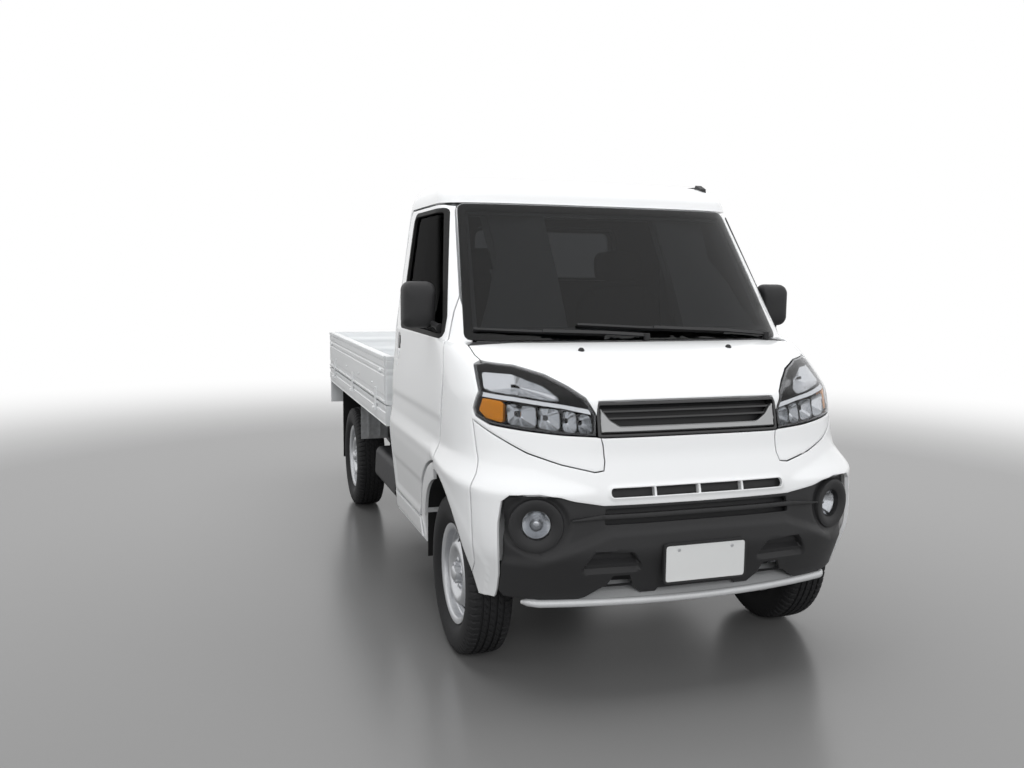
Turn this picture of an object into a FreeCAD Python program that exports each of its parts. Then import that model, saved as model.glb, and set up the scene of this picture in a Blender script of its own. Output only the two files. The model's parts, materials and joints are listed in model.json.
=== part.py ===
import FreeCAD, Part
import math
import os
from types import SimpleNamespace

# A small flat bed truck with a short nose: a two seat cab, a drop side bed, and four wheels.
# Frame: +X is forward, +Y is the driver's left, +Z is up. The origin is on the ground,
# in the middle of the length and width. Millimetres.

# Driving dimensions. A level is a height above the ground. A reach is a distance ahead of the
# front axle, so a place behind it is negative. A half is half of a width.
SIZES = {
    "wheelbase": 2390,
    "front_overhang": 600,
    "rear_overhang": 700,
    "track": 1300,
    # the cab's outer form
    "chin_level": 300,
    "chin_reach": 505,
    "chin_half": 735,
    "bumper_level": 500,
    "bumper_reach": 577,
    "bumper_half": 752,
    "flare_level": 700,
    "flare_reach": 548,
    "flare_half": 772,
    "crease_level": 810,
    "crease_reach": 497,
    "crease_half": 765,
    "nose_level": 990,
    "nose_reach": 460,
    "nose_half": 756,
    "cowl_level": 1165,
    "cowl_reach": 30,
    "cowl_half": 745,
    "brow_level": 1700,
    "brow_reach": -350,
    "brow_half": 660,
    "roof_level": 1800,
    "roof_curl": 110,
    "nose_depth": 600,
    "cowl_depth": 250,
    "brow_depth": 190,
    "cab_back": -992,
    "cab_back_lean": 50,
    "cab_corner": 90,
    # walls and gaps
    "single_skin": 12,
    "bonnet_skin": 12,
    "roof_skin": 30,
    "panel": 40,
    "pillar": 30,
    "shut_gap": 5,
    "seal_gap": 6,
    "door_frame_wide": 45,
    "trim_gap": 3,
    "seat_gap": 0.3,
    # doors
    "door_front": -20,
    "door_rear": -930,
    "door_rear_lean": 25,
    "door_sill": 420,
    "door_hinge_reach": 8,
    "door_hinge_half": 772,
    "door_hinge_level": 700,
    "door_hinge_top_half": 735,
    "door_shoulder": 1100,
    "door_head": 1690,
    "arch_radius": 370,
    "arch_lip": 50,
    "window_sill": 1180,
    "window_head": 1655,
    "window_rear": -815,
    "window_border": 75,
    "window_glass": 5,
    "window_depth": 14,
    # windscreen, bonnet and nose
    "screen_foot_half": 655,
    "screen_head_half": 600,
    "screen_foot_level": 1170,
    "screen_head_level": 1686,
    "screen_border": 40,
    "rear_glass_half": 400,
    "rear_glass_low": 1390,
    "rear_glass_high": 1627,
    "cowl_strip": 50,
    "bonnet_gap": 10,
    "lamp_gap": 8,
    "bonnet_half": 668,
    "lamp_inner": 352,
    "lamp_low": 880,
    "lamp_depth": 110,
    "lamp_wall": 5,
    "lens": 4,
    "grille_low": 862,
    "black_half": 655,
    "black_high": 690,
    "black_middle": 657,
    "black_low": 338,
    "black_inset": 8,
    "slot_half": 325,
    "slot_low": 684,
    "slot_high": 713,
    "fog_half": 560,
    "fog_level": 588,
    "fog_radius": 68,
    "bar_level": 316,
    "bar_radius": 16,
    "bar_half": 590,
    "plate_wide": 305,
    "plate_tall": 129,
    "plate_level": 460,
    # floor and frame
    "floor_level": 480,
    "floor_plate": 25,
    "seat_box_top": 715,
    "firewall": -30,
    "wheelhouse_half": 390,
    "wheelhouse_skin": 6,
    "rail_half": 385,
    "rail_wide": 55,
    "rail_tall": 100,
    "rail_front_level": 345,
    "rail_rear_level": 430,
    # bed
    "bed_front": -1060,
    "bed_rear": -3050,
    "bed_half": 765,
    "bed_level": 785,
    "bed_depth": 95,
    "bed_plate": 12,
    "bed_floor_rise": 3,
    "board_top": 1022,
    "board": 30,
    "gate_hinge_level": 745,
    "gate_hinge_out": 13,
    "tail_hinge_out": 23,
    "hinge_pin": 5,
    "pin_clearance": 0.05,
    "tail_panel_low": 550,
    # wheels, axles and steering
    "tyre_radius": 298,
    "tyre_wide": 165,
    "bead_radius": 165,
    "flange_radius": 186,
    "rim_wide": 128,
    "rim_wall": 5,
    "wheel_face": 58,
    "wheel_holes": 14,
    "wheel_hole_radius": 12,
    "wheel_hole_ring": 122,
    "hub_radius": 30,
    "spindle": 15,
    "kingpin_low_half": 605,
    "kingpin_low_level": 200,
    "kingpin_top_half": 500,
    "kingpin_top_level": 780,
    # fittings on the doors
    "mirror_reach": -250,
    "mirror_half": 790,
    "mirror_level": 1290,
    "mirror_wide": 130,
    "mirror_tall": 180,
    "mirror_deep": 70,
    # ranges of the joints, in degrees
    "bonnet_angle": 45,
    "door_angle": 70,
    "steer_angle": 35,
    "gate_angle": 180,
}

V = FreeCAD.Vector
doc = FreeCAD.newDocument("SmallTruck")
sheet = doc.addObject("Spreadsheet::Sheet", "Sizes")
for line, (word, number) in enumerate(SIZES.items(), start=1):
    sheet.set(f"A{line}", word)
    sheet.set(f"B{line}", str(number))
    sheet.setAlias(f"B{line}", word)
doc.recompute()


class Size(float):
    """A length that also knows the sheet formula it is worked out from."""

    def __new__(cls, number, formula):
        length = super().__new__(cls, number)
        length.formula = formula
        return length

    def join(self, number, sign, other, swapped=False):
        """The result of one step of arithmetic, with its formula in brackets."""
        words = (formula_of(other), self.formula) if swapped else (self.formula, formula_of(other))
        return Size(number, f"({words[0]} {sign} {words[1]})")

    def __add__(self, other):
        return self.join(float(self) + float(other), "+", other)

    def __radd__(self, other):
        return self.join(float(other) + float(self), "+", other, swapped=True)

    def __sub__(self, other):
        return self.join(float(self) - float(other), "-", other)

    def __rsub__(self, other):
        return self.join(float(other) - float(self), "-", other, swapped=True)

    def __mul__(self, other):
        return self.join(float(self) * float(other), "*", other)

    def __rmul__(self, other):
        return self.join(float(other) * float(self), "*", other, swapped=True)

    def __truediv__(self, other):
        return self.join(float(self) / float(other), "/", other)

    def __neg__(self):
        return Size(-float(self), f"(0 - {self.formula})")


def formula_of(number):
    """The sheet formula of a size, or the plain number as text."""
    return number.formula if isinstance(number, Size) else repr(round(float(number), 6))


S = SimpleNamespace(**{word: Size(sheet.get(word), f"Sizes.{word}") for word in SIZES})
AXLE = (S.wheelbase + S.rear_overhang - S.front_overhang) / 2
REAR_AXLE = AXLE - S.wheelbase


# Helpers that make document objects bound to the sheet

def bind(item, **sizes):
    """Ties each named property to its formula; a dot in a name is written as two underscores."""
    for word, size in sizes.items():
        item.setExpression(word.replace("__", "."), formula_of(size))
    return item


def block(name, x, y, z):
    """A box between two ends on each axis, given as (low, high) pairs."""
    box = doc.addObject("Part::Box", name)
    bind(box, Length=x[1] - x[0], Width=y[1] - y[0], Height=z[1] - z[0])
    return bind(box, Placement__Base__x=x[0], Placement__Base__y=y[0], Placement__Base__z=z[0])


TURNS = {
    "x": FreeCAD.Rotation(V(0, 1, 0), 90),
    "y": FreeCAD.Rotation(V(1, 0, 0), -90),
    "z": FreeCAD.Rotation(),
}


def rod(name, start, way, radius, length):
    """A cylinder from a start point along the x, y or z axis."""
    bar = doc.addObject("Part::Cylinder", name)
    bar.Placement = FreeCAD.Placement(V(0, 0, 0), TURNS[way])
    bind(bar, Radius=radius, Height=length)
    return bind(bar, Placement__Base__x=start[0], Placement__Base__y=start[1], Placement__Base__z=start[2])


def fused(name, items):
    """One solid from pieces that meet."""
    union = doc.addObject("Part::MultiFuse", name)
    union.Shapes = items
    return union


def cut(name, base, tool):
    """The base without the tool."""
    rest = doc.addObject("Part::Cut", name)
    rest.Base = base
    rest.Tool = tool
    return rest


def group(name, items):
    """Like pieces on one body, which don't touch, as one sub-part."""
    pieces = doc.addObject("Part::Compound", name)
    pieces.Links = items
    return pieces


def feature(name, shape):
    """A free form sub-part, whose shape is worked out with the geometry functions."""
    piece = doc.addObject("Part::Feature", name)
    piece.Shape = shape
    piece.Placement = FreeCAD.Placement()
    return piece


NODES = []


def node(item, name):
    """Names the object as a sub-part that gets a file of its own."""
    item.Label = name
    NODES.append(item)
    return item


def mirrored(shape):
    """The same shape on the other side of the truck."""
    return shape.mirror(V(0, 0, 0), V(0, 1, 0))


def both(shape):
    """A shape and its mirror image, as one compound."""
    return Part.makeCompound([shape, mirrored(shape)])


def joined(shapes):
    """One clean solid from shapes that meet."""
    return shapes[0].fuse(shapes[1:]).removeSplitter()


# Outlines: corners in a plane, each with an optional radius, and prisms on them

PLANES = {
    "side": (lambda a, b: V(a, 0, b), V(0, 1, 0)),
    "front": (lambda a, b: V(0, a, b), V(1, 0, 0)),
    "top": (lambda a, b: V(a, b, 0), V(0, 0, 1)),
}


def outline(plane, corners):
    """A closed wire through corners (a, b) or (a, b, radius), rounded where a radius is given."""
    point = PLANES[plane][0]
    knots = [point(corner[0], corner[1]) for corner in corners]
    path = []
    for here, corner in enumerate(corners):
        knot = knots[here]
        if len(corner) == 2:
            path.append((knot, knot, knot))
            continue
        back = (knots[here - 1] - knot).normalize()
        ahead = (knots[(here + 1) % len(knots)] - knot).normalize()
        half_turn = back.getAngle(ahead) / 2
        reach = corner[2] / math.tan(half_turn)
        middle = (back + ahead).normalize() * (corner[2] / math.sin(half_turn) - corner[2])
        path.append((knot + back * reach, knot + middle, knot + ahead * reach))
    edges = []
    for here, (start, middle, end) in enumerate(path):
        if (end - start).Length > 1e-6:
            edges.append(Part.Arc(start, middle, end).toShape())
        following = path[(here + 1) % len(path)][0]
        if (following - end).Length > 1e-6:
            edges.append(Part.makeLine(end, following))
    return Part.Wire(edges)


def prism(plane, corners, low, high, grow=0):
    """The outline carried square to its plane from low to high, made wider or narrower by grow."""
    face = Part.Face(outline(plane, corners))
    if grow:
        face = Part.Face(face.OuterWire.makeOffset2D(grow))
    way = PLANES[plane][1]
    face.translate(way * low)
    return face.extrude(way * (high - low))


def slab(x, y, z):
    """A plain box shape between two ends on each axis."""
    return Part.makeBox(x[1] - x[0], y[1] - y[0], z[1] - z[0], V(x[0], y[0], z[0]))


def bar(start, end, radius):
    """A round bar between two points."""
    return Part.makeCylinder(radius, (end - start).Length, start, end - start)


WIDE = 900
BEYOND = 3000

# The cab's outer form: plan outlines stacked from the chin to the roof. Each outline has a
# bowed front, straight sides and round rear corners. An inset form is the same with walls
# that lie deeper, so what is between two insets is a wall.

BOW_POWER = 3.5
BOW_STEPS = 14
CORNER_STEPS = 3


def plan(level, reach, depth, half, back, corner):
    """One plan outline at a level; the bow runs over the depth ahead of the straight sides."""
    start = AXLE + reach - depth
    back = AXLE + back
    points = []
    for step in range(BOW_STEPS + 1):
        turn = math.pi * (0.5 - step / BOW_STEPS)
        ahead = depth * max(math.cos(turn), 0) ** (2 / BOW_POWER)
        across = half * math.copysign(abs(math.sin(turn)) ** (2 / BOW_POWER), turn)
        points.append(V(start + ahead, across, level))
    for side in (-1, 1):
        for step in range(CORNER_STEPS + 1):
            turn = math.pi / 2 * step / CORNER_STEPS
            along, across = (math.sin(turn), math.cos(turn)) if side < 0 else (math.cos(turn), math.sin(turn))
            middle = V(back + corner, side * (half - corner), level)
            points.append(middle + V(-along * corner, side * across * corner, 0))
    return Part.makePolygon(points + points[:1])


CHIN_SKIRT = 20
BONNET_BANDS = 4
ROOF_BANDS = 3
ROOF_TURN = 76


def mould(inset):
    """The cab's form with its walls moved in by the inset, open at the chin when it is inset."""
    corner = S.cab_corner - inset
    back = S.cab_back + inset
    lean = S.cab_back_lean * (S.cowl_level - S.chin_level) / (S.roof_level - S.chin_level) / 8
    below = CHIN_SKIRT if inset else 0
    depth = S.nose_depth - inset
    rings = [
        (S.chin_level - below, S.chin_reach - inset, depth - 40, S.chin_half - inset, back, corner),
        (S.bumper_level, S.bumper_reach - inset, depth, S.bumper_half - inset, back, corner),
        (S.flare_level, S.flare_reach - inset, depth, S.flare_half - inset, back, corner),
        (S.crease_level, S.crease_reach - inset, depth, S.crease_half - inset, back, corner),
        (S.nose_level - 0.4 * inset, S.nose_reach - inset, depth, S.nose_half - inset, back, corner),
    ]
    low = S.nose_level - 0.4 * inset
    high = S.cowl_level - inset
    nose_start = S.nose_reach - S.nose_depth
    cowl_start = S.cowl_reach - S.cowl_depth
    cowl_reach = S.cowl_reach - 0.52 * inset
    for band in range(1, BONNET_BANDS + 1):
        rise = 1 - (1 - band / BONNET_BANDS) ** 2
        reach = cowl_reach + (S.nose_reach - inset - cowl_reach) * math.sqrt(1 - rise)
        start = nose_start + (cowl_start - nose_start) * rise
        half = S.nose_half + (S.cowl_half - S.nose_half) * rise - inset
        rings.append((low + (high - low) * rise, reach, reach - start, half, back - lean * rise, corner))
    brow = S.brow_level - 0.6 * inset
    top = S.roof_level - inset
    reach = S.brow_reach - 0.8 * inset
    depth = S.brow_depth - 0.8 * inset
    half = S.brow_half - inset
    back = back - S.cab_back_lean
    for band in range(ROOF_BANDS + 1):
        turn = math.radians(ROOF_TURN) * band / ROOF_BANDS
        curl = S.roof_curl * (1 - math.cos(turn))
        level = brow + (top - brow) * math.sin(turn)
        rings.append((level, reach - curl, depth, half - curl, back + 0.6 * curl, corner))
    return Part.makeLoft([plan(*ring) for ring in rings], True, True)


MOULDS = {}


def form(inset):
    """The mould for an inset, made once."""
    key = round(float(inset), 3)
    if key not in MOULDS:
        MOULDS[key] = mould(inset)
    return MOULDS[key]


def wall(region, outer, inner):
    """The part of the cab's wall in a region, from one inset to a deeper one."""
    return form(outer).common(region).cut(form(inner))


# Regions that the cab's panels are cut with

WHEEL_LEVEL = S.tyre_radius
SCREEN_SWEEP = 71
SCREEN_LEAN = (S.brow_reach - S.cowl_reach + 10) / (S.brow_level - S.cowl_level)
FOOT_LEVEL = 1318
PANEL_END = 320


def screen_edge(level):
    """How far forward the windscreen's side edge lies at a level."""
    return AXLE + S.cowl_reach - SCREEN_SWEEP + (level - S.cowl_level) * SCREEN_LEAN


def arch(radius):
    """A cylinder across the truck about the front axle."""
    return Part.makeCylinder(radius, 2 * WIDE, V(AXLE, -WIDE, WHEEL_LEVEL), V(0, 1, 0))


def screen_region(grow=0, head=S.screen_head_level):
    """What the windscreen fills, seen from the front."""
    foot = S.screen_foot_half
    top = S.screen_head_half
    corners = [
        (foot, S.screen_foot_level, 30),
        (top, head, 40),
        (-top, head, 40),
        (-foot, S.screen_foot_level, 30),
    ]
    return prism("front", corners, AXLE - 560, AXLE + 160, grow)


def door_region(grow=0):
    """What the left door fills, seen from the side."""
    front = AXLE + S.door_front
    rear = AXLE + S.door_rear
    arch_top = WHEEL_LEVEL + S.arch_radius
    corners = [
        (front, S.door_shoulder, 60),
        (screen_edge(FOOT_LEVEL), FOOT_LEVEL, 200),
        (screen_edge(S.door_head) + 25, S.door_head, 70),
        (rear - S.door_rear_lean, S.door_head, 40),
        (rear, S.window_sill, 300),
        (rear, S.door_sill, 15),
        (front - 80, S.door_sill),
        (front - 45, arch_top + 30),
        (front, arch_top + 120, 40),
    ]
    return prism("side", corners, 250, WIDE, grow).cut(arch(S.arch_radius + S.arch_lip - grow))


def window_region(grow=0):
    """The door's window, seen from the side."""
    rear = AXLE + S.window_rear
    corners = [
        (screen_edge(S.window_sill) - S.window_border, S.window_sill, 12),
        (screen_edge(S.window_head) - S.window_border, S.window_head, 35),
        (rear - S.door_rear_lean - 20, S.window_head, 30),
        (rear, S.window_sill, 12),
    ]
    return prism("side", corners, 250, WIDE, grow)


def two_sided(edge):
    """A closed outline from the corners of its left half."""
    return edge + [(corner[0], -corner[1]) + tuple(corner[2:]) for corner in reversed(edge)]


def bonnet_region(grow=0):
    """What the bonnet and the cowl strip fill, seen from above."""
    edge = [
        (AXLE + 700, S.lamp_inner),
        (AXLE + 452, S.lamp_inner, 20),
        (AXLE + 377, 417, 150),
        (AXLE + 232, 565, 150),
        (AXLE + 165, 651, 30),
        (AXLE + 50, S.bonnet_half + 10, 60),
        (AXLE - 150, S.bonnet_half + 10),
    ]
    return prism("top", two_sided(edge), S.nose_level + 2 - grow, S.cowl_level, grow)


def cowl_region(ahead):
    """What lies behind a line that runs ahead of the windscreen's foot."""
    level = S.nose_level
    foot = plan(level, S.cowl_reach + ahead, S.cowl_depth, S.cowl_half, S.cab_back, S.cab_corner)
    return Part.Face(foot).extrude(V(0, 0, 2 * (S.cowl_level - level)))


def front_prism(corners, grow=0):
    """A region on the nose, seen from the front, from the front axle forward."""
    return prism("front", corners, AXLE + 100, AXLE + 700, grow)


def mirror_pairs(edge):
    """A closed front outline from the corners (across, level) of its left half."""
    return edge + [(-corner[0],) + tuple(corner[1:]) for corner in reversed(edge)]


def lamp_region(grow=0):
    """What the left headlamp fills: it tucks under the bonnet's edge and wraps round the corner."""
    inner = S.lamp_inner
    corners = [
        (inner, S.lamp_low, 6),
        (inner, S.cowl_level),
        (640, S.cowl_level),
        (655, 1112, 10),
        (686, 1098, 15),
        (692, 1010, 40),
        (714, 948, 12),
        (700, 926, 30),
        (655, 904, 60),
        (500, S.lamp_low + 10, 200),
    ]
    return front_prism(corners, grow).cut(bonnet_region(S.lamp_gap - grow))


def grille_region(grow=0):
    """The opening between the headlamps."""
    half = S.lamp_inner - S.shut_gap
    corners = mirror_pairs([(half, S.grille_low, 8), (half, S.nose_level - 3, 8)])
    return front_prism(corners, grow)


SEAM = [
    (800, 930),
    (651, 866, 100),
    (577, 823, 150),
    (477, 789, 150),
    (372, 764, 20),
    (335, 768, 12),
    (328, 800, 60),
    (333, S.grille_low - S.trim_gap),
]


def bumper_region(grow=0):
    """The white bumper, with its tongue that rises to the grille, and the black part's place."""
    corners = mirror_pairs([(800, S.black_low)] + SEAM)
    return front_prism(corners, grow)


def black_region(grow=0):
    """The black lower part of the bumper."""
    half = S.black_half
    edge = [
        (half - 15, S.black_low, 20),
        (half, 420, 100),
        (half + 4, 600, 100),
        (half, S.black_high, 35),
        (520, S.black_high, 60),
        (352, S.black_middle, 60),
    ]
    return front_prism(mirror_pairs(edge), grow)


# Cab panels

def shape_of_door():
    """The left door: a skin, a narrower inner frame behind it, and the window's opening."""
    clear_screen = screen_region(S.shut_gap + S.trim_gap)
    skin = wall(door_region(), 0, S.single_skin)
    inner = wall(door_region(-10), S.single_skin, S.panel)
    return joined([skin, inner]).cut(clear_screen).cut(window_region())


def shape_of_door_glass():
    """The left side window, in the door's thickness."""
    return wall(window_region(-S.seat_gap), S.window_depth, S.window_depth + S.window_glass)


def shape_of_screen():
    """The windscreen, seated on its flange."""
    return wall(screen_region(), S.trim_gap, S.trim_gap + S.window_glass)


def rear_glass_region(grow=0):
    """The window in the cab's rear wall, seen from behind."""
    half = S.rear_glass_half
    corners = mirror_pairs([(half, S.rear_glass_low, 40), (half, S.rear_glass_high, 40)])
    return prism("front", corners, AXLE + S.cab_back - 100, AXLE + S.cab_back + 120, grow)


def shape_of_rear_glass():
    """The rear window, flush in the wall."""
    region = rear_glass_region(-S.seat_gap)
    return wall(region, S.window_depth, S.window_depth + S.window_glass)


FRAME_INSET = S.panel + S.seal_gap + S.pillar
TOWER_HALF = S.kingpin_top_half + 5
TOWER_BORE = 58
HEAD_PLANE = S.door_head + S.shut_gap
FLOOR_UNDER = S.floor_level - S.floor_plate


def door_space():
    """The room that the left door's thickness takes in the cab's wall, with its gap."""
    return wall(door_region(S.shut_gap), 0, S.panel + S.seal_gap)


def door_sweep():
    """The room that the left door's front frame passes through as the door begins to open."""
    near = slab((AXLE - 500, AXLE + 60), (450, WIDE), (S.door_shoulder - 5, HEAD_PLANE))
    room = door_space().common(near)
    foot = V(AXLE + S.door_hinge_reach, S.door_hinge_half, S.door_hinge_level)
    way = V(0, S.door_hinge_top_half, S.door_head) - V(0, S.door_hinge_half, S.door_hinge_level)
    rooms = []
    for angle in (-4, -8, -12, -16, -20):
        turned_room = room.copy()
        turned_room.rotate(foot, way, angle)
        rooms.append(turned_room)
    return rooms


def tower_hollow():
    """The room inside the left strut's tower."""
    foot = V(AXLE, TOWER_HALF, WHEEL_LEVEL)
    return Part.makeCylinder(TOWER_BORE, S.kingpin_top_level + 14 - WHEEL_LEVEL, foot)


def shape_of_wheelhouse():
    """The left wheelhouse: a half drum over the wheel, closed inboard, with the strut's tower."""
    outer = S.arch_radius + S.shut_gap + S.wheelhouse_skin
    inner = S.arch_radius + S.shut_gap
    start = V(AXLE, S.wheelhouse_half, WHEEL_LEVEL)
    drum = Part.makeCylinder(outer, WIDE, start, V(0, 1, 0))
    hollow = Part.makeCylinder(inner, WIDE, start + V(0, S.wheelhouse_skin, 0), V(0, 1, 0))
    tower_foot = V(AXLE, TOWER_HALF, WHEEL_LEVEL)
    tower_tall = S.kingpin_top_level + 14 + S.wheelhouse_skin - WHEEL_LEVEL
    tower = Part.makeCylinder(TOWER_BORE + S.wheelhouse_skin, tower_tall, tower_foot)
    above = slab((AXLE - 500, AXLE + 500), (0, WIDE), (S.rail_front_level + S.rail_tall, 1000))
    shape = drum.fuse(tower).cut(hollow).cut(tower_hollow())
    return shape.common(above).common(form(S.single_skin + S.seat_gap)).cut(door_region(S.shut_gap))


def shape_of_floor():
    """The floor plate, the box under the seats and the firewall, inside the cab's walls."""
    rear = AXLE + S.cab_back + S.panel / 2
    front = AXLE + S.firewall
    plate = slab((rear, front), (-WIDE, WIDE), (FLOOR_UNDER, S.floor_level))
    fire = slab((front - 20, front), (-WIDE, WIDE), (FLOOR_UNDER, 1105))
    shelf = slab((front - 20, AXLE + 25), (-WIDE, WIDE), (1085, 1105))
    box = slab((rear, AXLE - 430), (-600, 600), (FLOOR_UNDER, S.seat_box_top))
    box_hollow = slab((rear - 10, AXLE - 440), (-590, 590), (FLOOR_UNDER - 10, S.seat_box_top - 10))
    riser = slab((AXLE - 5, AXLE + 15), (-600, 600), (1100, S.cowl_level))
    riser = riser.common(form(S.bonnet_skin + S.seat_gap))
    body = joined([plate, fire, shelf, box, riser])
    return body.cut(box_hollow).common(form(S.panel / 2))


def shape_of_cab_shell():
    """The fixed cab: rear wall, sills, floor, firewall, wheelhouses and the frame round the doors."""
    back = slab((AXLE - 1200, AXLE - 330), (-WIDE, WIDE), (S.chin_level + 30, HEAD_PLANE))
    under = slab((AXLE - 1100, AXLE - 900), (-600, 600), (0, FLOOR_UNDER))
    shell = wall(back.cut(under), 0, S.panel)
    doors = both(door_region(S.shut_gap))
    shell = shell.cut(doors).cut(rear_glass_region()).cut(screen_region(S.trim_gap, HEAD_PLANE + 60))
    space = door_space()
    ring = wall(door_region(S.shut_gap + 18), 2 * S.single_skin, FRAME_INSET)
    beyond = [
        slab((AXLE - 1000, AXLE - 880), (0, 600), (0, S.roof_level)),
        slab((AXLE - 1000, AXLE), (0, WIDE), (HEAD_PLANE, S.roof_level)),
    ]
    ring = ring.cut(space).cut(door_region(-S.door_frame_wide)).cut(beyond)
    for room in door_sweep():
        ring = ring.cut(room)
    sill = slab((AXLE - 960, AXLE - 330), (500, WIDE), (S.chin_level + 30, S.door_sill + 40))
    sill = wall(sill, S.panel, FRAME_INSET).cut(space)
    flange_region = screen_region(0, HEAD_PLANE).cut(screen_region(-S.screen_border))
    flange_outer = S.trim_gap + S.window_glass + S.seat_gap
    flange = wall(flange_region, flange_outer, FRAME_INSET)
    houses = shape_of_wheelhouse()
    clear_wheel = arch(S.arch_radius + S.shut_gap).common(both(
        slab((AXLE - 500, AXLE + 500), (S.wheelhouse_half + S.wheelhouse_skin, WIDE), (0, 1000))))
    floor = shape_of_floor().cut(both(space)).cut(clear_wheel).cut(both(tower_hollow()))
    parts = [shell, ring, mirrored(ring), sill, mirrored(sill), flange, floor, houses, mirrored(houses)]
    return max(joined(parts).Solids, key=lambda solid: solid.Volume)


def shape_of_roof():
    """The roof's skin with a deeper rim, which sits on the frame round the doors."""
    above = slab((AXLE - 1200, AXLE + 100), (-WIDE, WIDE), (HEAD_PLANE + S.seat_gap, S.roof_level + 50))
    rim = slab((AXLE - 1200, AXLE + 100), (-WIDE, WIDE), (HEAD_PLANE + S.seat_gap, HEAD_PLANE + 18))
    skin = wall(above, 0, S.roof_skin)
    return joined([skin, wall(rim, 0, FRAME_INSET)]).cut(screen_region(S.trim_gap))


def shape_of_bonnet():
    """The bonnet: a skin that runs from the grille to the cowl strip."""
    region = bonnet_region().cut(cowl_region(S.cowl_strip + S.bonnet_gap))
    return wall(region, 0, S.bonnet_skin)


def shape_of_cowl():
    """The black strip at the windscreen's foot."""
    half = S.screen_foot_half
    region = slab((AXLE - 200, AXLE + 300), (-half, half), (S.cowl_level - 60, S.screen_foot_level + 30))
    region = region.common(cowl_region(S.cowl_strip)).cut(screen_region(S.trim_gap))
    region = region.cut(both(door_region(S.shut_gap)))
    return wall(region, 0, S.bonnet_skin)


def shape_of_fender():
    """The left front panel: it runs under the headlamp, over the wheel and up the pillar's foot."""
    side = slab(
        (AXLE + S.door_front + S.shut_gap, AXLE + PANEL_END),
        (300, WIDE),
        (S.chin_level + 30, FOOT_LEVEL),
    )
    under_lamp = front_prism([(345, S.lamp_low + 60)] + list(reversed(SEAM)) + [(800, S.lamp_low + 60)])
    ahead = slab((AXLE + PANEL_END - 1, AXLE + 700), (345, WIDE), (700, S.nose_level - 20))
    region = side.fuse(under_lamp.common(ahead))
    region = region.cut(lamp_region(S.trim_gap)).cut(bonnet_region(S.shut_gap)).cut(door_region(S.shut_gap))
    region = region.cut(screen_region(S.trim_gap)).cut(arch(S.arch_radius))
    region = region.cut(bumper_seam_region(S.trim_gap))
    half = S.screen_foot_half + S.trim_gap
    region = region.cut(slab((AXLE - 200, AXLE + 100), (-half, half), (S.cowl_level - 60, FOOT_LEVEL)))
    return wall(region, 0, S.single_skin)


def bumper_seam_region(grow=0):
    """Everything that the bumper's outline holds ahead of the side panel's end."""
    ahead = slab((AXLE + PANEL_END - grow, AXLE + 700), (-WIDE, WIDE), (300 - grow, 900))
    return bumper_region(grow).common(ahead)


def bracket(half, level, outer, inner, wide=40, tall=30):
    """A pair of lugs that reach back from a nose panel to the carrier behind it."""
    lug = slab((AXLE, AXLE + 700), (half - wide / 2, half + wide / 2), (level - tall / 2, level + tall / 2))
    return wall(both(lug), outer, inner)


CARRIER_INSET = S.lamp_depth + S.seat_gap


def shape_of_bumper():
    """The white bumper round the black part, with its slot and two lugs behind it."""
    region = bumper_seam_region().cut(black_region()).cut(arch(S.arch_radius))
    slot = front_prism(mirror_pairs([(S.slot_half, S.slot_low, 12), (S.slot_half, S.slot_high, 12)]))
    skin = wall(region.cut(slot), 0, S.single_skin)
    return joined([skin, bracket(200, 770, S.single_skin / 2, S.lamp_depth)])


def shape_of_black_bumper():
    """The black lower bumper with the tubes of the fog lamps."""
    skin = wall(black_region(-S.trim_gap), S.black_inset, S.black_inset + S.single_skin)
    parts = [skin, bracket(250, 430, S.black_inset + 2, S.lamp_depth)]
    for side in (1, -1):
        start = V(AXLE + 395, side * S.fog_half, S.fog_level)
        parts.append(Part.makeCylinder(S.fog_radius + 8, 110, start, V(1, 0, 0)))
    body = joined(parts).common(form(0))
    for side in (1, -1):
        start = V(AXLE + 385, side * S.fog_half, S.fog_level)
        body = body.cut(Part.makeCylinder(S.fog_radius, 200, start, V(1, 0, 0)))
    return body


def shape_of_carrier():
    """The panel behind the nose that carries the lamps, the grille and the bumper."""
    high = slab((AXLE + 60, AXLE + 600), (-640, 640), (S.flare_level, S.nose_level - 60))
    low = slab((AXLE + 200, AXLE + 600), (-S.rail_half + 5, S.rail_half - 5), (S.rail_front_level, 720))
    face = wall(joined([high, low]), CARRIER_INSET, CARRIER_INSET + 15)
    mouth = front_prism(mirror_pairs([(300, 480, 20), (300, 900, 20)]))
    post = slab((AXLE + 300, AXLE + 345), (230, 270), (905, S.cowl_level))
    post = post.common(form(S.bonnet_skin + S.seat_gap))
    return joined([face.cut(mouth), both(post)])


def shape_of_grille():
    """The grille: a rim, bars across, and lugs back to the carrier."""
    rim = grille_region(-S.trim_gap).cut(grille_region(-14))
    parts = [wall(rim, 6, 36)]
    for level in (893, 918, 943, 968):
        rod_space = slab((AXLE, AXLE + 700), (-330, 330), (level - 4, level + 4))
        parts.append(wall(rod_space.common(grille_region(-10)), 12, 34))
    post = slab((AXLE, AXLE + 700), (-6, 6), (S.grille_low, S.nose_level))
    parts.append(wall(post.common(grille_region(-10)), 16, 34))
    parts.append(bracket(325, S.grille_low + 15, 20, S.lamp_depth, 20, 16))
    return joined(parts)


def shape_of_lens():
    """The left headlamp's clear cover."""
    return wall(lamp_region(-1), 0, S.lens)


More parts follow.
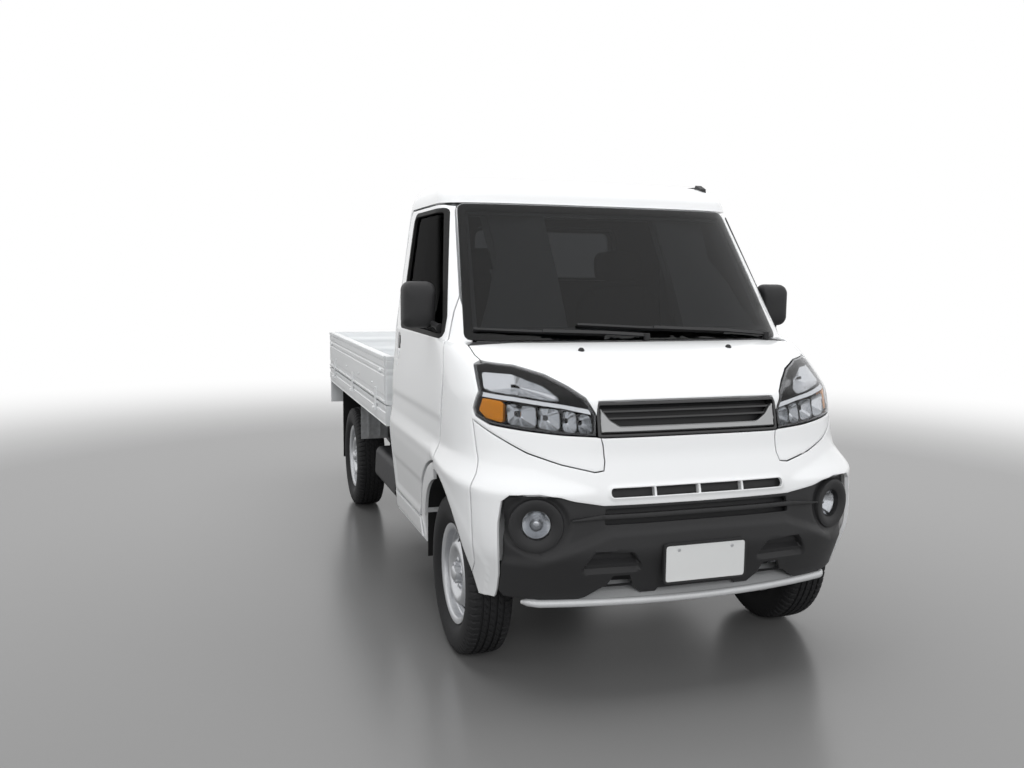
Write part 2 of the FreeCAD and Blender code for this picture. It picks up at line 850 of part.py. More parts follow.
def shape_of_lamp():
    """The left headlamp's housing: a cup with a shelf between its two rows."""
    cup = wall(lamp_region(-1), S.lens + S.seat_gap, S.lamp_depth)
    hollow = lamp_region(-1 - S.lamp_wall).common(form(0)).cut(form(S.lamp_depth - S.lamp_wall))
    shelf = slab((AXLE, AXLE + 700), (0, WIDE), (1000, 1006)).common(lamp_region(-2))
    return joined([cup.cut(hollow), wall(shelf, 25, S.lamp_depth - 2)])


# Chassis

RAIL_OUT = S.rail_half
RAIL_IN = S.rail_half - S.rail_wide
BED_FRONT = AXLE + S.bed_front
BED_REAR = AXLE + S.bed_rear
BED_UNDER = S.bed_level - S.bed_depth
RAIL_RISE = S.rail_rear_level - S.rail_front_level
RAIL_LOW = S.rail_front_level
KICK = AXLE - 1000
SILL_PLACES = (BED_FRONT - 110, REAR_AXLE + 480, REAR_AXLE, REAR_AXLE - 400, BED_REAR + 80)


def shape_of_frame():
    """Two rails that kick up behind the cab, tied by cross members, with sills that carry the bed."""
    front = AXLE + 440
    low = RAIL_LOW
    rear_low = low + RAIL_RISE
    corners = [
        (front, low),
        (front, low + S.rail_tall),
        (KICK, low + S.rail_tall),
        (KICK - 150, rear_low + S.rail_tall),
        (BED_REAR + 20, rear_low + S.rail_tall),
        (BED_REAR + 20, rear_low),
        (KICK - 150, rear_low),
        (KICK, low),
    ]
    rail = prism("side", corners, RAIL_IN, RAIL_OUT)
    parts = [rail, mirrored(rail)]
    for place in (AXLE + 250, AXLE - 150, AXLE - 400):
        parts.append(slab((place - 30, place + 30), (-RAIL_IN, RAIL_IN), (low + 15, low + 85)))
    parts.append(slab((KICK - 110, KICK - 60), (-RAIL_IN, RAIL_IN), (rear_low, rear_low + 50)))
    for place in (BED_FRONT - 60, REAR_AXLE + 520, REAR_AXLE - 520, BED_REAR + 60):
        parts.append(slab((place - 30, place + 30), (-RAIL_IN, RAIL_IN), (rear_low + 20, rear_low + 85)))
    for place in SILL_PLACES:
        parts.append(slab((place - 30, place + 30), (-560, 560), (rear_low + S.rail_tall, BED_UNDER - S.seat_gap)))
    for side in (1, -1):
        for place in (AXLE - 380, AXLE - 900):
            mount = V(place, side * (RAIL_IN + S.rail_wide / 2), low + S.rail_tall - 1)
            tall = S.floor_level - S.floor_plate - S.seat_gap - mount.z
            parts.append(Part.makeCylinder(26, tall, mount))
    ahead = slab((AXLE + 200, AXLE + 700), (-WIDE, WIDE), (0, 1000)).cut(form(CARRIER_INSET + 15 + S.seat_gap))
    return joined(parts).cut(ahead)


def make_engine():
    """The engine under the seats: one plain block with its gearbox, between the rails, on lugs."""
    top = S.seat_box_top - 45
    core = block("EngineCore", (AXLE - 860, AXLE - 460), (-220, 220), (RAIL_LOW - 20, top))
    box = block("Gearbox", (AXLE - 1000, AXLE - 855), (-90, 90), (RAIL_LOW - 10, RAIL_LOW + 80))
    lug = (AXLE - 690, AXLE - 630)
    level = (RAIL_LOW + 40, RAIL_LOW + 80)
    left = block("EngineLugLeft", lug, (215, RAIL_IN - S.seat_gap), level)
    right = block("EngineLugRight", lug, (S.seat_gap - RAIL_IN, -215), level)
    return node(fused("Engine", [core, box, left, right]), "engine")


SPINDLE_END = 63
SHAFT_LEVEL = RAIL_LOW + 33


def shape_of_rear_axle():
    """The rear axle with its differential, drums and spindles, and the shaft from the gearbox."""
    half = S.track / 2
    middle = V(REAR_AXLE, 0, WHEEL_LEVEL)
    parts = [bar(middle - V(0, half - 70, 0), middle + V(0, half - 70, 0), 32)]
    parts.append(Part.makeSphere(105, middle))
    for side in (1, -1):
        parts.append(bar(middle + V(0, side * (half - 85), 0), middle + V(0, side * (half - 45), 0), 110))
        end = middle + V(0, side * (half + SPINDLE_END), 0)
        parts.append(bar(middle + V(0, side * (half - 60), 0), end, S.spindle))
        seat = V(REAR_AXLE - 40, side * 455 - 25, WHEEL_LEVEL)
        parts.append(Part.makeBox(80, 50, 47, seat))
    parts.append(bar(middle, V(AXLE - 1003, 0, SHAFT_LEVEL), 30))
    return joined(parts)


def shape_of_springs():
    """A pair of leaf springs from hangers on the rails, arched down to the axle's seats."""
    low = WHEEL_LEVEL + 47 + S.seat_gap
    thick = 24
    corners = [
        (REAR_AXLE + 470, low + 55),
        (REAR_AXLE + 470, low + 55 + thick),
        (REAR_AXLE, low + thick, 1500),
        (REAR_AXLE - 500, low + 55 + thick),
        (REAR_AXLE - 500, low + 55),
        (REAR_AXLE, low, 1500),
    ]
    leaf = prism("side", corners, 430, 480)
    front = slab((REAR_AXLE + 440, REAR_AXLE + 500), (RAIL_OUT + S.seat_gap, 480), (low + 40, low + 110))
    rear = slab((REAR_AXLE - 530, REAR_AXLE - 470), (RAIL_OUT + S.seat_gap, 480), (low + 40, low + 110))
    clamp = slab((REAR_AXLE - 35, REAR_AXLE + 35), (425, 485), (low, low + thick + 30))
    return both(joined([leaf, front, rear, clamp]))


def shape_of_tank():
    """The fuel tank, hung on the right rail."""
    side = -RAIL_OUT - S.seat_gap
    corners = [(side, 300, 15), (side, 470, 15), (-690, 470, 35), (-700, 300, 35)]
    return prism("front", corners, AXLE - 1750, AXLE - 1200)


def shape_of_exhaust():
    """The exhaust: a pipe from the engine, a silencer and a tail pipe over the axle."""
    side = 175
    level = RAIL_LOW + 55
    start = V(AXLE - 860 - S.seat_gap, side, level)
    silencer = bar(V(AXLE - 1480, side, level - 20), V(AXLE - 1900, side, level - 20), 62)
    pipe = bar(start, V(AXLE - 1490, side, level), 20)
    tail = bar(V(AXLE - 1890, side, level), V(BED_REAR + 60, side, level), 18)
    return joined([pipe, silencer, tail])


# Front suspension and steering

KINGPIN_LOW = V(AXLE, S.kingpin_low_half, S.kingpin_low_level)
KINGPIN_TOP = V(AXLE, S.kingpin_top_half, S.kingpin_top_level)
BALL = 14


def shape_of_front_suspension():
    """The front cross beam with an arm and a ball socket on each side, and the struts' springs."""
    beam = slab((AXLE - 65, AXLE + 65), (-370, 370), (S.kingpin_low_level - 14, RAIL_LOW - S.seat_gap))
    parts = [beam]
    sockets = []
    springs = []
    for side in (1, -1):
        joint = V(AXLE, side * KINGPIN_LOW.y, KINGPIN_LOW.z)
        arm = slab((AXLE - 24, AXLE + 24), (340, KINGPIN_LOW.y - 12), (joint.z - 12, joint.z + 12))
        parts.append(arm if side > 0 else mirrored(arm))
        parts.append(Part.makeCylinder(BALL + 10, 36, joint - V(0, 0, 20)))
        sockets.append(Part.makeSphere(BALL + S.seat_gap, joint))
        sockets.append(Part.makeCylinder(BALL, 40, joint + V(0, 0, 5)))
        foot = V(AXLE, side * TOWER_HALF, 612)
        tall = S.kingpin_top_level + 14 - S.seat_gap - foot.z
        springs.append(Part.makeCylinder(53, tall, foot).cut(Part.makeCylinder(43, tall, foot)))
    return Part.makeCompound([joined(parts).cut(sockets), *springs])


def shape_of_knuckle():
    """The left knuckle: hub, spindle and strut, on the ball that it steers about."""
    half = S.track / 2
    hub_start = V(AXLE, 545, WHEEL_LEVEL)
    parts = [
        bar(hub_start, V(AXLE, half - 10, WHEEL_LEVEL), 42),
        bar(V(AXLE, half - 60, WHEEL_LEVEL), V(AXLE, half - 54, WHEEL_LEVEL), 70),
        bar(V(AXLE, half - 20, WHEEL_LEVEL), V(AXLE, half + SPINDLE_END, WHEEL_LEVEL), S.spindle),
        Part.makeSphere(BALL, KINGPIN_LOW),
        bar(KINGPIN_LOW, KINGPIN_LOW + (KINGPIN_TOP - KINGPIN_LOW) * 0.13, 9),
        bar(V(AXLE, 534, WHEEL_LEVEL + 20), V(AXLE, S.kingpin_top_half, S.kingpin_top_level - 20), 22),
        slab((AXLE - 22, AXLE + 22), (515, 565), (WHEEL_LEVEL, WHEEL_LEVEL + 75)),
    ]
    return joined(parts)


# Wheels: a steel rim with a ring of round holes, and a tyre, each a turned section

def drawn_section(body, name, points):
    """A closed sketch on the body's XZ plane: its x is the radius and its y runs outwards."""
    import Sketcher
    sketch = body.newObject("Sketcher::SketchObject", name)
    plane = [item for item in body.Origin.OriginFeatures if item.Role == "XZ_Plane"][0]
    sketch.AttachmentSupport = (plane, [""])
    sketch.MapMode = "FlatFace"
    places = [V(radius, out, 0) for radius, out in points]
    for here, there in zip(places, places[1:] + places[:1]):
        sketch.addGeometry(Part.LineSegment(here, there))
    count = len(places)
    for line in range(count):
        sketch.addConstraint(Sketcher.Constraint("Coincident", line, 2, (line + 1) % count, 1))
    return sketch


def turned(body, name, points):
    """The section turned once round the body's Z axis."""
    sketch = drawn_section(body, name + "Section", points)
    turn = body.newObject("PartDesign::Revolution", name)
    turn.Profile = sketch
    turn.ReferenceAxis = (sketch, ["V_Axis"])
    turn.Angle = 360
    return turn


def set_on_hub(body, along, side):
    """Puts a wheel part at its hub, with its outer face towards its own side of the truck."""
    body.Placement = FreeCAD.Placement(V(0, 0, 0), FreeCAD.Rotation(V(1, 0, 0), -90 * side))
    bind(body, Placement__Base__x=along, Placement__Base__y=S.track / 2 * side, Placement__Base__z=WHEEL_LEVEL)


def make_tyre(name, along, side):
    """One tyre, without its tread."""
    body = doc.addObject("PartDesign::Body", "Tyre" + name)
    half = S.tyre_wide / 2
    bead = S.bead_radius + S.seat_gap
    wide = half * 0.665
    section = [
        (bead, half - 29),
        (S.flange_radius + 5, half - 25),
        (240, half),
        (S.tyre_radius - 15, half * 0.9),
        (S.tyre_radius, wide),
        (S.tyre_radius, -wide),
        (S.tyre_radius - 15, -half * 0.9),
        (240, -half),
        (S.flange_radius + 5, 25 - half),
        (bead, 29 - half),
    ]
    turned(body, "TyreTurn" + name, section)
    set_on_hub(body, along, side)
    return node(body, "tyre_" + name)


def make_rim(name, along, side):
    """One steel rim: a flanged barrel, a dished disc with its ring of holes, and a capped hub."""
    import Sketcher
    body = doc.addObject("PartDesign::Body", "Rim" + name)
    half = S.rim_wide / 2
    barrel = S.bead_radius - S.rim_wall
    bore = S.spindle + S.pin_clearance
    face = S.wheel_face
    section = [
        (S.flange_radius, half),
        (S.flange_radius, half - S.rim_wall),
        (S.bead_radius, half - S.rim_wall),
        (S.bead_radius, S.rim_wall - half),
        (S.flange_radius, S.rim_wall - half),
        (S.flange_radius, -half),
        (barrel, -half),
        (barrel, face - 42),
        (112, face - 10),
        (94, face - 10),
        (70, face - 26),
        (S.hub_radius, face - 26),
        (S.hub_radius, 5),
        (bore, 5),
        (bore, SPINDLE_END + 1),
        (0, SPINDLE_END + 1),
        (0, SPINDLE_END + 9),
        (S.hub_radius, SPINDLE_END + 5),
        (S.hub_radius, face - 20),
        (68, face - 20),
        (92, face - 4),
        (114, face - 4),
        (barrel, face - 34),
        (barrel, half),
    ]
    turned(body, "RimTurn" + name, section)
    ring = body.newObject("Sketcher::SketchObject", "Hole" + name)
    plane = [item for item in body.Origin.OriginFeatures if item.Role == "XY_Plane"][0]
    ring.AttachmentSupport = (plane, [""])
    ring.MapMode = "FlatFace"
    ring.addGeometry(Part.Circle(V(S.wheel_hole_ring, 0, 0), V(0, 0, 1), S.wheel_hole_radius))
    ring.addConstraint(Sketcher.Constraint("Radius", 0, float(S.wheel_hole_radius)))
    ring.addConstraint(Sketcher.Constraint("PointOnObject", 0, 3, -1))
    ring.addConstraint(Sketcher.Constraint("DistanceX", -1, 1, 0, 3, float(S.wheel_hole_ring)))
    ring.renameConstraint(0, "hole_radius")
    ring.renameConstraint(2, "hole_ring")
    ring.setExpression("Constraints.hole_radius", S.wheel_hole_radius.formula)
    ring.setExpression("Constraints.hole_ring", S.wheel_hole_ring.formula)
    pocket = body.newObject("PartDesign::Pocket", "HolePocket" + name)
    pocket.Profile = ring
    pocket.Type = 1
    pocket.Midplane = True
    pattern = body.newObject("PartDesign::PolarPattern", "HoleRing" + name)
    pattern.Originals = [pocket]
    pattern.Axis = (ring, ["N_Axis"])
    pattern.Angle = 360
    pattern.setExpression("Occurrences", S.wheel_holes.formula)
    body.Tip = pattern
    set_on_hub(body, along, side)
    return node(body, "rim_" + name)


# Bed

GATE_LEVEL = S.gate_hinge_level
BOARD_LOW = S.bed_level + S.shut_gap
SIDE_PIN = S.bed_half + S.gate_hinge_out
TAIL_PIN = BED_REAR - S.tail_hinge_out
BARREL = S.hinge_pin + 5
EAR = 10
BARREL_LONG = 36
SIDE_HINGES = (BED_FRONT - 250, (BED_FRONT + BED_REAR) / 2, BED_REAR + 250)
TAIL_HINGES = (-480, 0, 480)


def hinge(place, pin_out, face, part):
    """One gate hinge, as if on the left side: its fixed ears and pin, or its moving strap."""
    half = BARREL_LONG / 2
    pin = V(place - half - EAR, pin_out, GATE_LEVEL)
    if part == "ears":
        ears = []
        for start in (place - half - EAR - 2, place + half + 2):
            ears.append(slab((start, start + EAR), (face - 1, pin_out + 8), (GATE_LEVEL - 8, GATE_LEVEL + 8)))
        return ears + [bar(pin, pin + V(BARREL_LONG + 2 * EAR, 0, 0), S.hinge_pin)]
    start = V(place - half, pin_out, GATE_LEVEL)
    barrel = bar(start, start + V(BARREL_LONG, 0, 0), BARREL)
    across = (place - half, place + half)
    strap = slab(across, (face + S.shut_gap, face + S.shut_gap + 6), (GATE_LEVEL, BOARD_LOW + 60))
    web = slab(across, (face + S.shut_gap, pin_out), (GATE_LEVEL, GATE_LEVEL + BARREL))
    pad = slab(across, (face - 1, face + S.shut_gap + 1), (BOARD_LOW + 7, BOARD_LOW + 60))
    bore = bar(start - V(1, 0, 0), start + V(BARREL_LONG + 2, 0, 0), S.hinge_pin + S.pin_clearance)
    return [joined([barrel, strap, web, pad]).cut(bore)]


def turned_to_tail(shape):
    """A shape made as if on the left side, at the origin, moved to the tail."""
    return shape.copy().rotate(V(0, 0, 0), V(0, 0, 1), 90)


def tail_hinge(place, part):
    """One tailgate hinge: the side hinge turned to face the rear."""
    pieces = hinge(place, -TAIL_PIN, -BED_REAR, part)
    return [piece.rotate(V(0, 0, 0), V(0, 0, 1), 90) for piece in pieces]


def shape_of_bed():
    """The bed: deck, beams under it, side rails, tail panel, and the gates' ears and pins."""
    half = S.bed_half
    plate = S.bed_plate
    parts = [
        slab((BED_REAR, BED_FRONT), (-half, half), (S.bed_level - plate, S.bed_level)),
        slab((BED_REAR, BED_REAR + plate), (-half, half), (S.tail_panel_low, S.bed_level)),
        slab((BED_FRONT - plate, BED_FRONT), (-half, half), (BED_UNDER, S.bed_level)),
    ]
    for side in ((half - plate, half), (-half, plate - half)):
        parts.append(slab((BED_REAR, BED_FRONT), side, (BED_UNDER, S.bed_level)))
    inside = S.board + S.shut_gap
    floor = (S.bed_level - plate, S.bed_level + S.bed_floor_rise)
    parts.append(slab((BED_REAR + inside, BED_FRONT - inside), (inside - half, half - inside), floor))
    for place in SILL_PLACES:
        parts.append(slab((place - 25, place + 25), (-half, half), (BED_UNDER, S.bed_level)))
    for place in SIDE_HINGES:
        for piece in hinge(place, SIDE_PIN, half, "ears"):
            parts += [piece, mirrored(piece)]
    for place in TAIL_HINGES:
        parts += tail_hinge(place, "ears")
    return joined(parts)


def shape_of_headboard():
    """The fixed board at the bed's front."""
    half = S.bed_half
    return slab((BED_FRONT - S.board, BED_FRONT), (-half, half), (S.bed_level + S.seat_gap, S.board_top))


def shape_of_dropside():
    """The left drop side with its hinge straps."""
    ends = (BED_REAR, BED_FRONT - S.board - S.shut_gap)
    parts = [slab(ends, (S.bed_half - S.board, S.bed_half), (BOARD_LOW, S.board_top))]
    for place in SIDE_HINGES:
        parts += hinge(place, SIDE_PIN, S.bed_half, "strap")
    return joined(parts)


def shape_of_tailgate():
    """The tailgate between the drop sides, with its hinge straps."""
    half = S.bed_half - S.board - S.shut_gap
    parts = [slab((BED_REAR, BED_REAR + S.board), (-half, half), (BOARD_LOW, S.board_top))]
    for place in TAIL_HINGES:
        parts += tail_hinge(place, "strap")
    return joined(parts)


def shape_of_guards():
    """The steel guards ahead of the rear wheels, hung from the bed."""
    top = S.bed_level - S.bed_plate - S.seat_gap
    plate = slab((AXLE - 2052, AXLE - 2049), (570, 725), (460, top))
    ribs = [slab((AXLE - 2058, AXLE - 2043), (half - 5, half + 5), (470, top)) for half in (615, 680)]
    return both(joined([plate] + ribs))


def shape_of_flaps():
    """Mud flaps behind the wheels, and the rubber stops that the open tailgate swings against."""
    front = slab((AXLE - 329.7, AXLE - 325), (600, 735), (270, 450))
    under_deck = S.bed_level - S.bed_plate - S.seat_gap
    rear = slab((AXLE - 2733, AXLE - 2729), (580, 730), (230, under_deck))
    stop = slab((REAR_AXLE - S.rear_overhang, BED_REAR - S.seat_gap), (500, 560), (552, 572))
    pieces = [front, rear, stop]
    return Part.makeCompound(pieces + [mirrored(piece) for piece in pieces])


def shape_of_tail_lamps():
    """The rear lamps on the tail panel."""
    lamp = slab((BED_REAR - 24, BED_REAR - S.seat_gap), (590, 745), (605, 685))
    return both(lamp)


# Nose fittings

def shape_of_fog_lamps():
    """The round lamps in the black bumper's tubes."""
    start = V(AXLE + 400, S.fog_half, S.fog_level)
    disc = Part.makeCylinder(S.fog_radius - S.seat_gap, 30, start, V(1, 0, 0))
    dome = Part.makeSphere(70, start + V(-22, 0, 0)).common(
        Part.makeCylinder(45, 60, start + V(20, 0, 0), V(1, 0, 0)))
    return both(joined([disc, dome]))


def shape_of_skid_bar():
    """The bright bar under the bumper: a bowed tube on two stays under the rails."""
    end = V(AXLE + 418, S.bar_half, S.bar_level)
    middle = V(AXLE + 562, 0, S.bar_level - 12)
    bow = Part.Arc(end, middle, V(end.x, -end.y, end.z)).toShape()
    ring = Part.Wire(Part.makeCircle(S.bar_radius, end, bow.tangentAt(bow.FirstParameter)))
    tube = Part.Wire(bow).makePipeShell([ring], True, True)
    low = S.bar_level - 14
    stay = slab((AXLE + 300, AXLE + 525), (345, 372), (low, S.black_low - S.shut_gap))
    pad = slab((AXLE + 300, AXLE + 430), (345, 372), (low, RAIL_LOW - S.seat_gap))
    return joined([tube, both(stay), both(pad)])


def shape_of_plate():
    """A blank number plate on two spacers."""
    front = AXLE + S.front_overhang
    half = S.plate_wide / 2
    low = S.plate_level - S.plate_tall / 2
    board = slab((front - 8, front), (-half, half), (low, low + S.plate_tall))
    parts = [board]
    for side in (90, -90):
        spacer = slab((AXLE + 400, front - 4), (side - 12, side + 12), (S.plate_level - 12, S.plate_level + 12))
        parts.append(spacer.cut(form(S.black_inset - S.seat_gap)))
    return joined(parts)


GLASS_OUT = V(0.815, 0, 0.579)


def on_form(across, level, out):
    """A point at a distance out from the cab's front face, at a place across and a level."""
    line = Part.makeLine(V(AXLE - 900, across, level), V(AXLE + 700, across, level)).common(form(0))
    ahead = max(vertex.Point.x for vertex in line.Vertexes)
    return V(ahead, across, level) + GLASS_OUT * out


def strip(points, wide, tall):
    """A flat strip along points on the glass: a rectangle at each point, joined up in one loft."""
    down = V(0, 1, 0).cross(GLASS_OUT)
    rings = []
    for point in points:
        rims = [(-1, -1), (1, -1), (1, 1), (-1, 1)]
        corners = [point + down * (a * wide / 2) + GLASS_OUT * (b * tall / 2) for a, b in rims]
        rings.append(Part.makePolygon(corners + corners[:1]))
    return Part.makeLoft(rings, True, True)


BLADE_OUT = 11
BLADE_WIDE = 9
BLADE_TALL = 14
ARM_WIDE = 13
ARM_TALL = 7


def shape_of_wiper(pivot, start, tip):
    """One wiper at rest at the windscreen's foot: a pivot cap, an arm, and a blade on its end."""
    places = []
    for step in range(5):
        across = start[0] + (tip[0] - start[0]) * step / 4
        level = start[1] + (tip[1] - start[1]) * step / 4
        places.append((across, level))
    blade = strip([on_form(*place, BLADE_OUT) for place in places], BLADE_WIDE, BLADE_TALL)
    above = BLADE_OUT + (BLADE_TALL + ARM_TALL) / 2 - 2
    foot = pivot + V(0, 0, 18)
    arm = strip([foot, on_form(*places[0], above + 4), on_form(*places[2], above)], ARM_WIDE, ARM_TALL)
    cap = Part.makeCylinder(13, 50, pivot - V(0, 0, 25))
    return joined([cap, arm, blade]).cut(form(-S.seat_gap))


def shape_of_antenna():
    """The aerial's foot and rod on the roof's left front corner."""
    foot = prism("side", [
        (AXLE - 440, 1700), (AXLE - 450, 1796), (AXLE - 500, 1818, 8), (AXLE - 530, 1700)], 530, 556)
    rod = bar(V(AXLE - 495, 543, 1806), V(AXLE - 900, 543, 1815), 3)
    return joined([foot.cut(form(-S.seat_gap)), rod])


def shape_of_mirror():
    """The left mirror on its arm."""
    half = S.mirror_wide / 2
    tall = S.mirror_tall / 2
    corners = [
        (S.mirror_half - half, S.mirror_level - tall, 30),
        (S.mirror_half + half, S.mirror_level - tall, 30),
        (S.mirror_half + half, S.mirror_level + tall, 30),
        (S.mirror_half - half, S.mirror_level + tall, 30),
    ]
    place = AXLE + S.mirror_reach
    head = prism("front", corners, place - S.mirror_deep / 2, place + S.mirror_deep / 2)
    foot = V(place + 108, S.mirror_half - 80, S.mirror_level - 40)
    arm = bar(foot, V(place + 20, S.mirror_half - 10, S.mirror_level - 40), 13).cut(form(-S.seat_gap))
    solids = sorted(arm.Solids, key=lambda solid: solid.BoundBox.YMax)
    return joined([head, solids[-1]])


def shape_of_radiator():
    """The radiator behind the nose's opening, on two lugs."""
    core = slab((AXLE + 285, AXLE + 330), (-285, 285), (470, 880))
    lug = slab((AXLE + 300, AXLE + 500), (280, 330), (840, 870)).common(form(CARRIER_INSET + 15 + S.seat_gap))
    return joined([core, lug, mirrored(lug)])


# Inside the cab

def shape_of_seat():
    """One seat, a soft closed form: cushion, back and head rest."""
    back = [
        (AXLE - 445, S.seat_box_top + S.seat_gap),
        (AXLE - 432, S.seat_box_top + 95, 30),
        (AXLE - 470, S.seat_box_top + 130, 25),
        (AXLE - 765, S.seat_box_top + 135, 30),
        (AXLE - 815, S.seat_box_top + 650, 40),
        (AXLE - 905, S.seat_box_top + 655, 40),
        (AXLE - 915, S.seat_box_top + S.seat_gap, 30),
    ]
    rest = [
        (AXLE - 835, S.seat_box_top + 600),
        (AXLE - 820, S.seat_box_top + 700, 30),
        (AXLE - 835, S.seat_box_top + 800, 30),
        (AXLE - 905, S.seat_box_top + 800, 30),
        (AXLE - 895, S.seat_box_top + 600),
    ]
    return joined([prism("side", back, 105, 560), prism("side", rest, 210, 455)])


WHEEL_MIDDLE = V(AXLE - 360, 330, 1040)
COLUMN = V(-0.643, 0, 0.766)


def shape_of_steering_wheel():
    """The steering wheel: rim, three spokes, boss and the stub of its shaft."""
    ring = Part.makeTorus(182, 13, WHEEL_MIDDLE, COLUMN)
    boss = bar(WHEEL_MIDDLE - COLUMN * 45, WHEEL_MIDDLE - COLUMN * 5, 40)
    shaft = bar(WHEEL_MIDDLE - COLUMN * 120, WHEEL_MIDDLE - COLUMN * 40, 10)
    across = V(0, 1, 0)
    down = COLUMN.cross(across)
    spokes = []
    for turn in (0, 120, 240):
        angle = math.radians(turn)
        way = across * math.sin(angle) + down * math.cos(angle)
        spokes.append(bar(WHEEL_MIDDLE - COLUMN * 22 + way * 20, WHEEL_MIDDLE + way * 180, 9))
    return joined([ring, boss, shaft] + spokes)


def shape_of_dashboard():
    """The dashboard across the cab, with the steering column's tube."""
    behind = AXLE + S.firewall - 20 - S.seat_gap
    corners = [
        (behind, 1100),
        (AXLE - 115, 1120, 40),
        (AXLE - 205, 1105, 40),
        (AXLE - 240, 1040, 40),
        (AXLE - 232, 950, 40),
        (AXLE - 150, 850, 60),
        (behind, 820),
    ]
    body = prism("side", corners, -700, 700).common(form(FRAME_INSET + S.trim_gap))
    tube = bar(WHEEL_MIDDLE - COLUMN * 330, WHEEL_MIDDLE - COLUMN * 52, 27)
    bore = bar(WHEEL_MIDDLE - COLUMN * 128, WHEEL_MIDDLE - COLUMN * 50, 10 + S.pin_clearance)
    hanger = slab((AXLE - 215, AXLE - 165), (315, 345), (800, 900))
    return joined([body, tube, hanger]).cut(bore)


# The sub-parts

def side_pair(name, shape):
    """A free form sub-part on the left and its mirror image on the right."""
    node(feature(name.title().replace("_", "") + "Left", shape), name + "_left")
    node(feature(name.title().replace("_", "") + "Right", mirrored(shape)), name + "_right")


for name, shape in (
    ("frame", shape_of_frame()),
    ("cab_shell", shape_of_cab_shell()),
    ("cab_roof", shape_of_roof()),
    ("windshield", shape_of_screen()),
    ("rear_window", shape_of_rear_glass()),
    ("cowl_strip", shape_of_cowl()),
    ("front_carrier", shape_of_carrier()),
    ("front_bumper", shape_of_bumper()),
    ("bumper_grille", shape_of_black_bumper()),
    ("grille", shape_of_grille()),
    ("fog_lamps", shape_of_fog_lamps()),
    ("skid_bar", shape_of_skid_bar()),
    ("number_plate", shape_of_plate()),
    ("wiper_left", shape_of_wiper(V(AXLE + 10, 590, S.cowl_level), (390, 1186), (-235, 1216))),
    ("wiper_right", shape_of_wiper(V(AXLE + 36, 40, S.cowl_level), (-130, 1180), (-632, 1200))),
    ("antenna", shape_of_antenna()),
    ("radiator", shape_of_radiator()),
    ("dashboard", shape_of_dashboard()),
    ("steering_wheel", shape_of_steering_wheel()),
    ("bonnet", shape_of_bonnet()),
    ("rear_axle", shape_of_rear_axle()),
    ("leaf_springs", shape_of_springs()),
    ("front_suspension", shape_of_front_suspension()),
    ("fuel_tank", shape_of_tank()),
    ("exhaust", shape_of_exhaust()),
    ("bed", shape_of_bed()),
    ("headboard", shape_of_headboard()),
    ("tailgate", shape_of_tailgate()),
    ("wheel_guards", shape_of_guards()),
    ("mud_flaps", shape_of_flaps()),
    ("tail_lamps", shape_of_tail_lamps()),
):
    node(feature(name.title().replace("_", ""), shape), name)

side_pair("door", shape_of_door())
side_pair("door_glass", shape_of_door_glass())
side_pair("mirror", shape_of_mirror())
side_pair("fender", shape_of_fender())
side_pair("headlamp", shape_of_lamp())
side_pair("headlamp_lens", shape_of_lens())
side_pair("dropside", shape_of_dropside())
side_pair("knuckle", shape_of_knuckle())
side_pair("seat", shape_of_seat())
make_engine()
for name, along, side in (
    ("front_left", AXLE, 1),
    ("front_right", AXLE, -1),
    ("rear_left", REAR_AXLE, 1),
    ("rear_right", REAR_AXLE, -1),
):
    make_rim(name, along, side)
    make_tyre(name, along, side)

doc.recompute()
for item in doc.Objects:
    faults = [state for state in item.State if state in ("Invalid", "Error")]
    if faults:
        raise RuntimeError(f"{item.Name} is in a state of {faults}")
for item in NODES:
    if item.Shape.isNull() or not item.Shape.isValid() or not item.Shape.Solids:
        raise RuntimeError(f"{item.Label} has no valid shape")

os.makedirs("parts", exist_ok=True)
for item in NODES:
    item.Shape.exportStep(f"parts/{item.Label}.step")
    print(f"{item.Label}: {len(item.Shape.Solids)} solid(s), {item.Shape.Volume / 1e6:.2f} litres")
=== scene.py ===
# %% [markdown]
# # A small white pickup, dressed in Blender
#
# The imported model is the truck's frame: it holds every rigid piece at its true size and place,
# and the bodies that the pieces ride on. This lesson dresses it. Most of the cab is pressed
# sheet steel whose panels share one flowing surface, so the lesson first writes that surface
# down as a formula and then cuts every panel out of it.

# %% Load the frame
import json
import math

import bpy
import numpy as np
from mathutils import Matrix, Vector
from mathutils.geometry import delaunay_2d_cdt

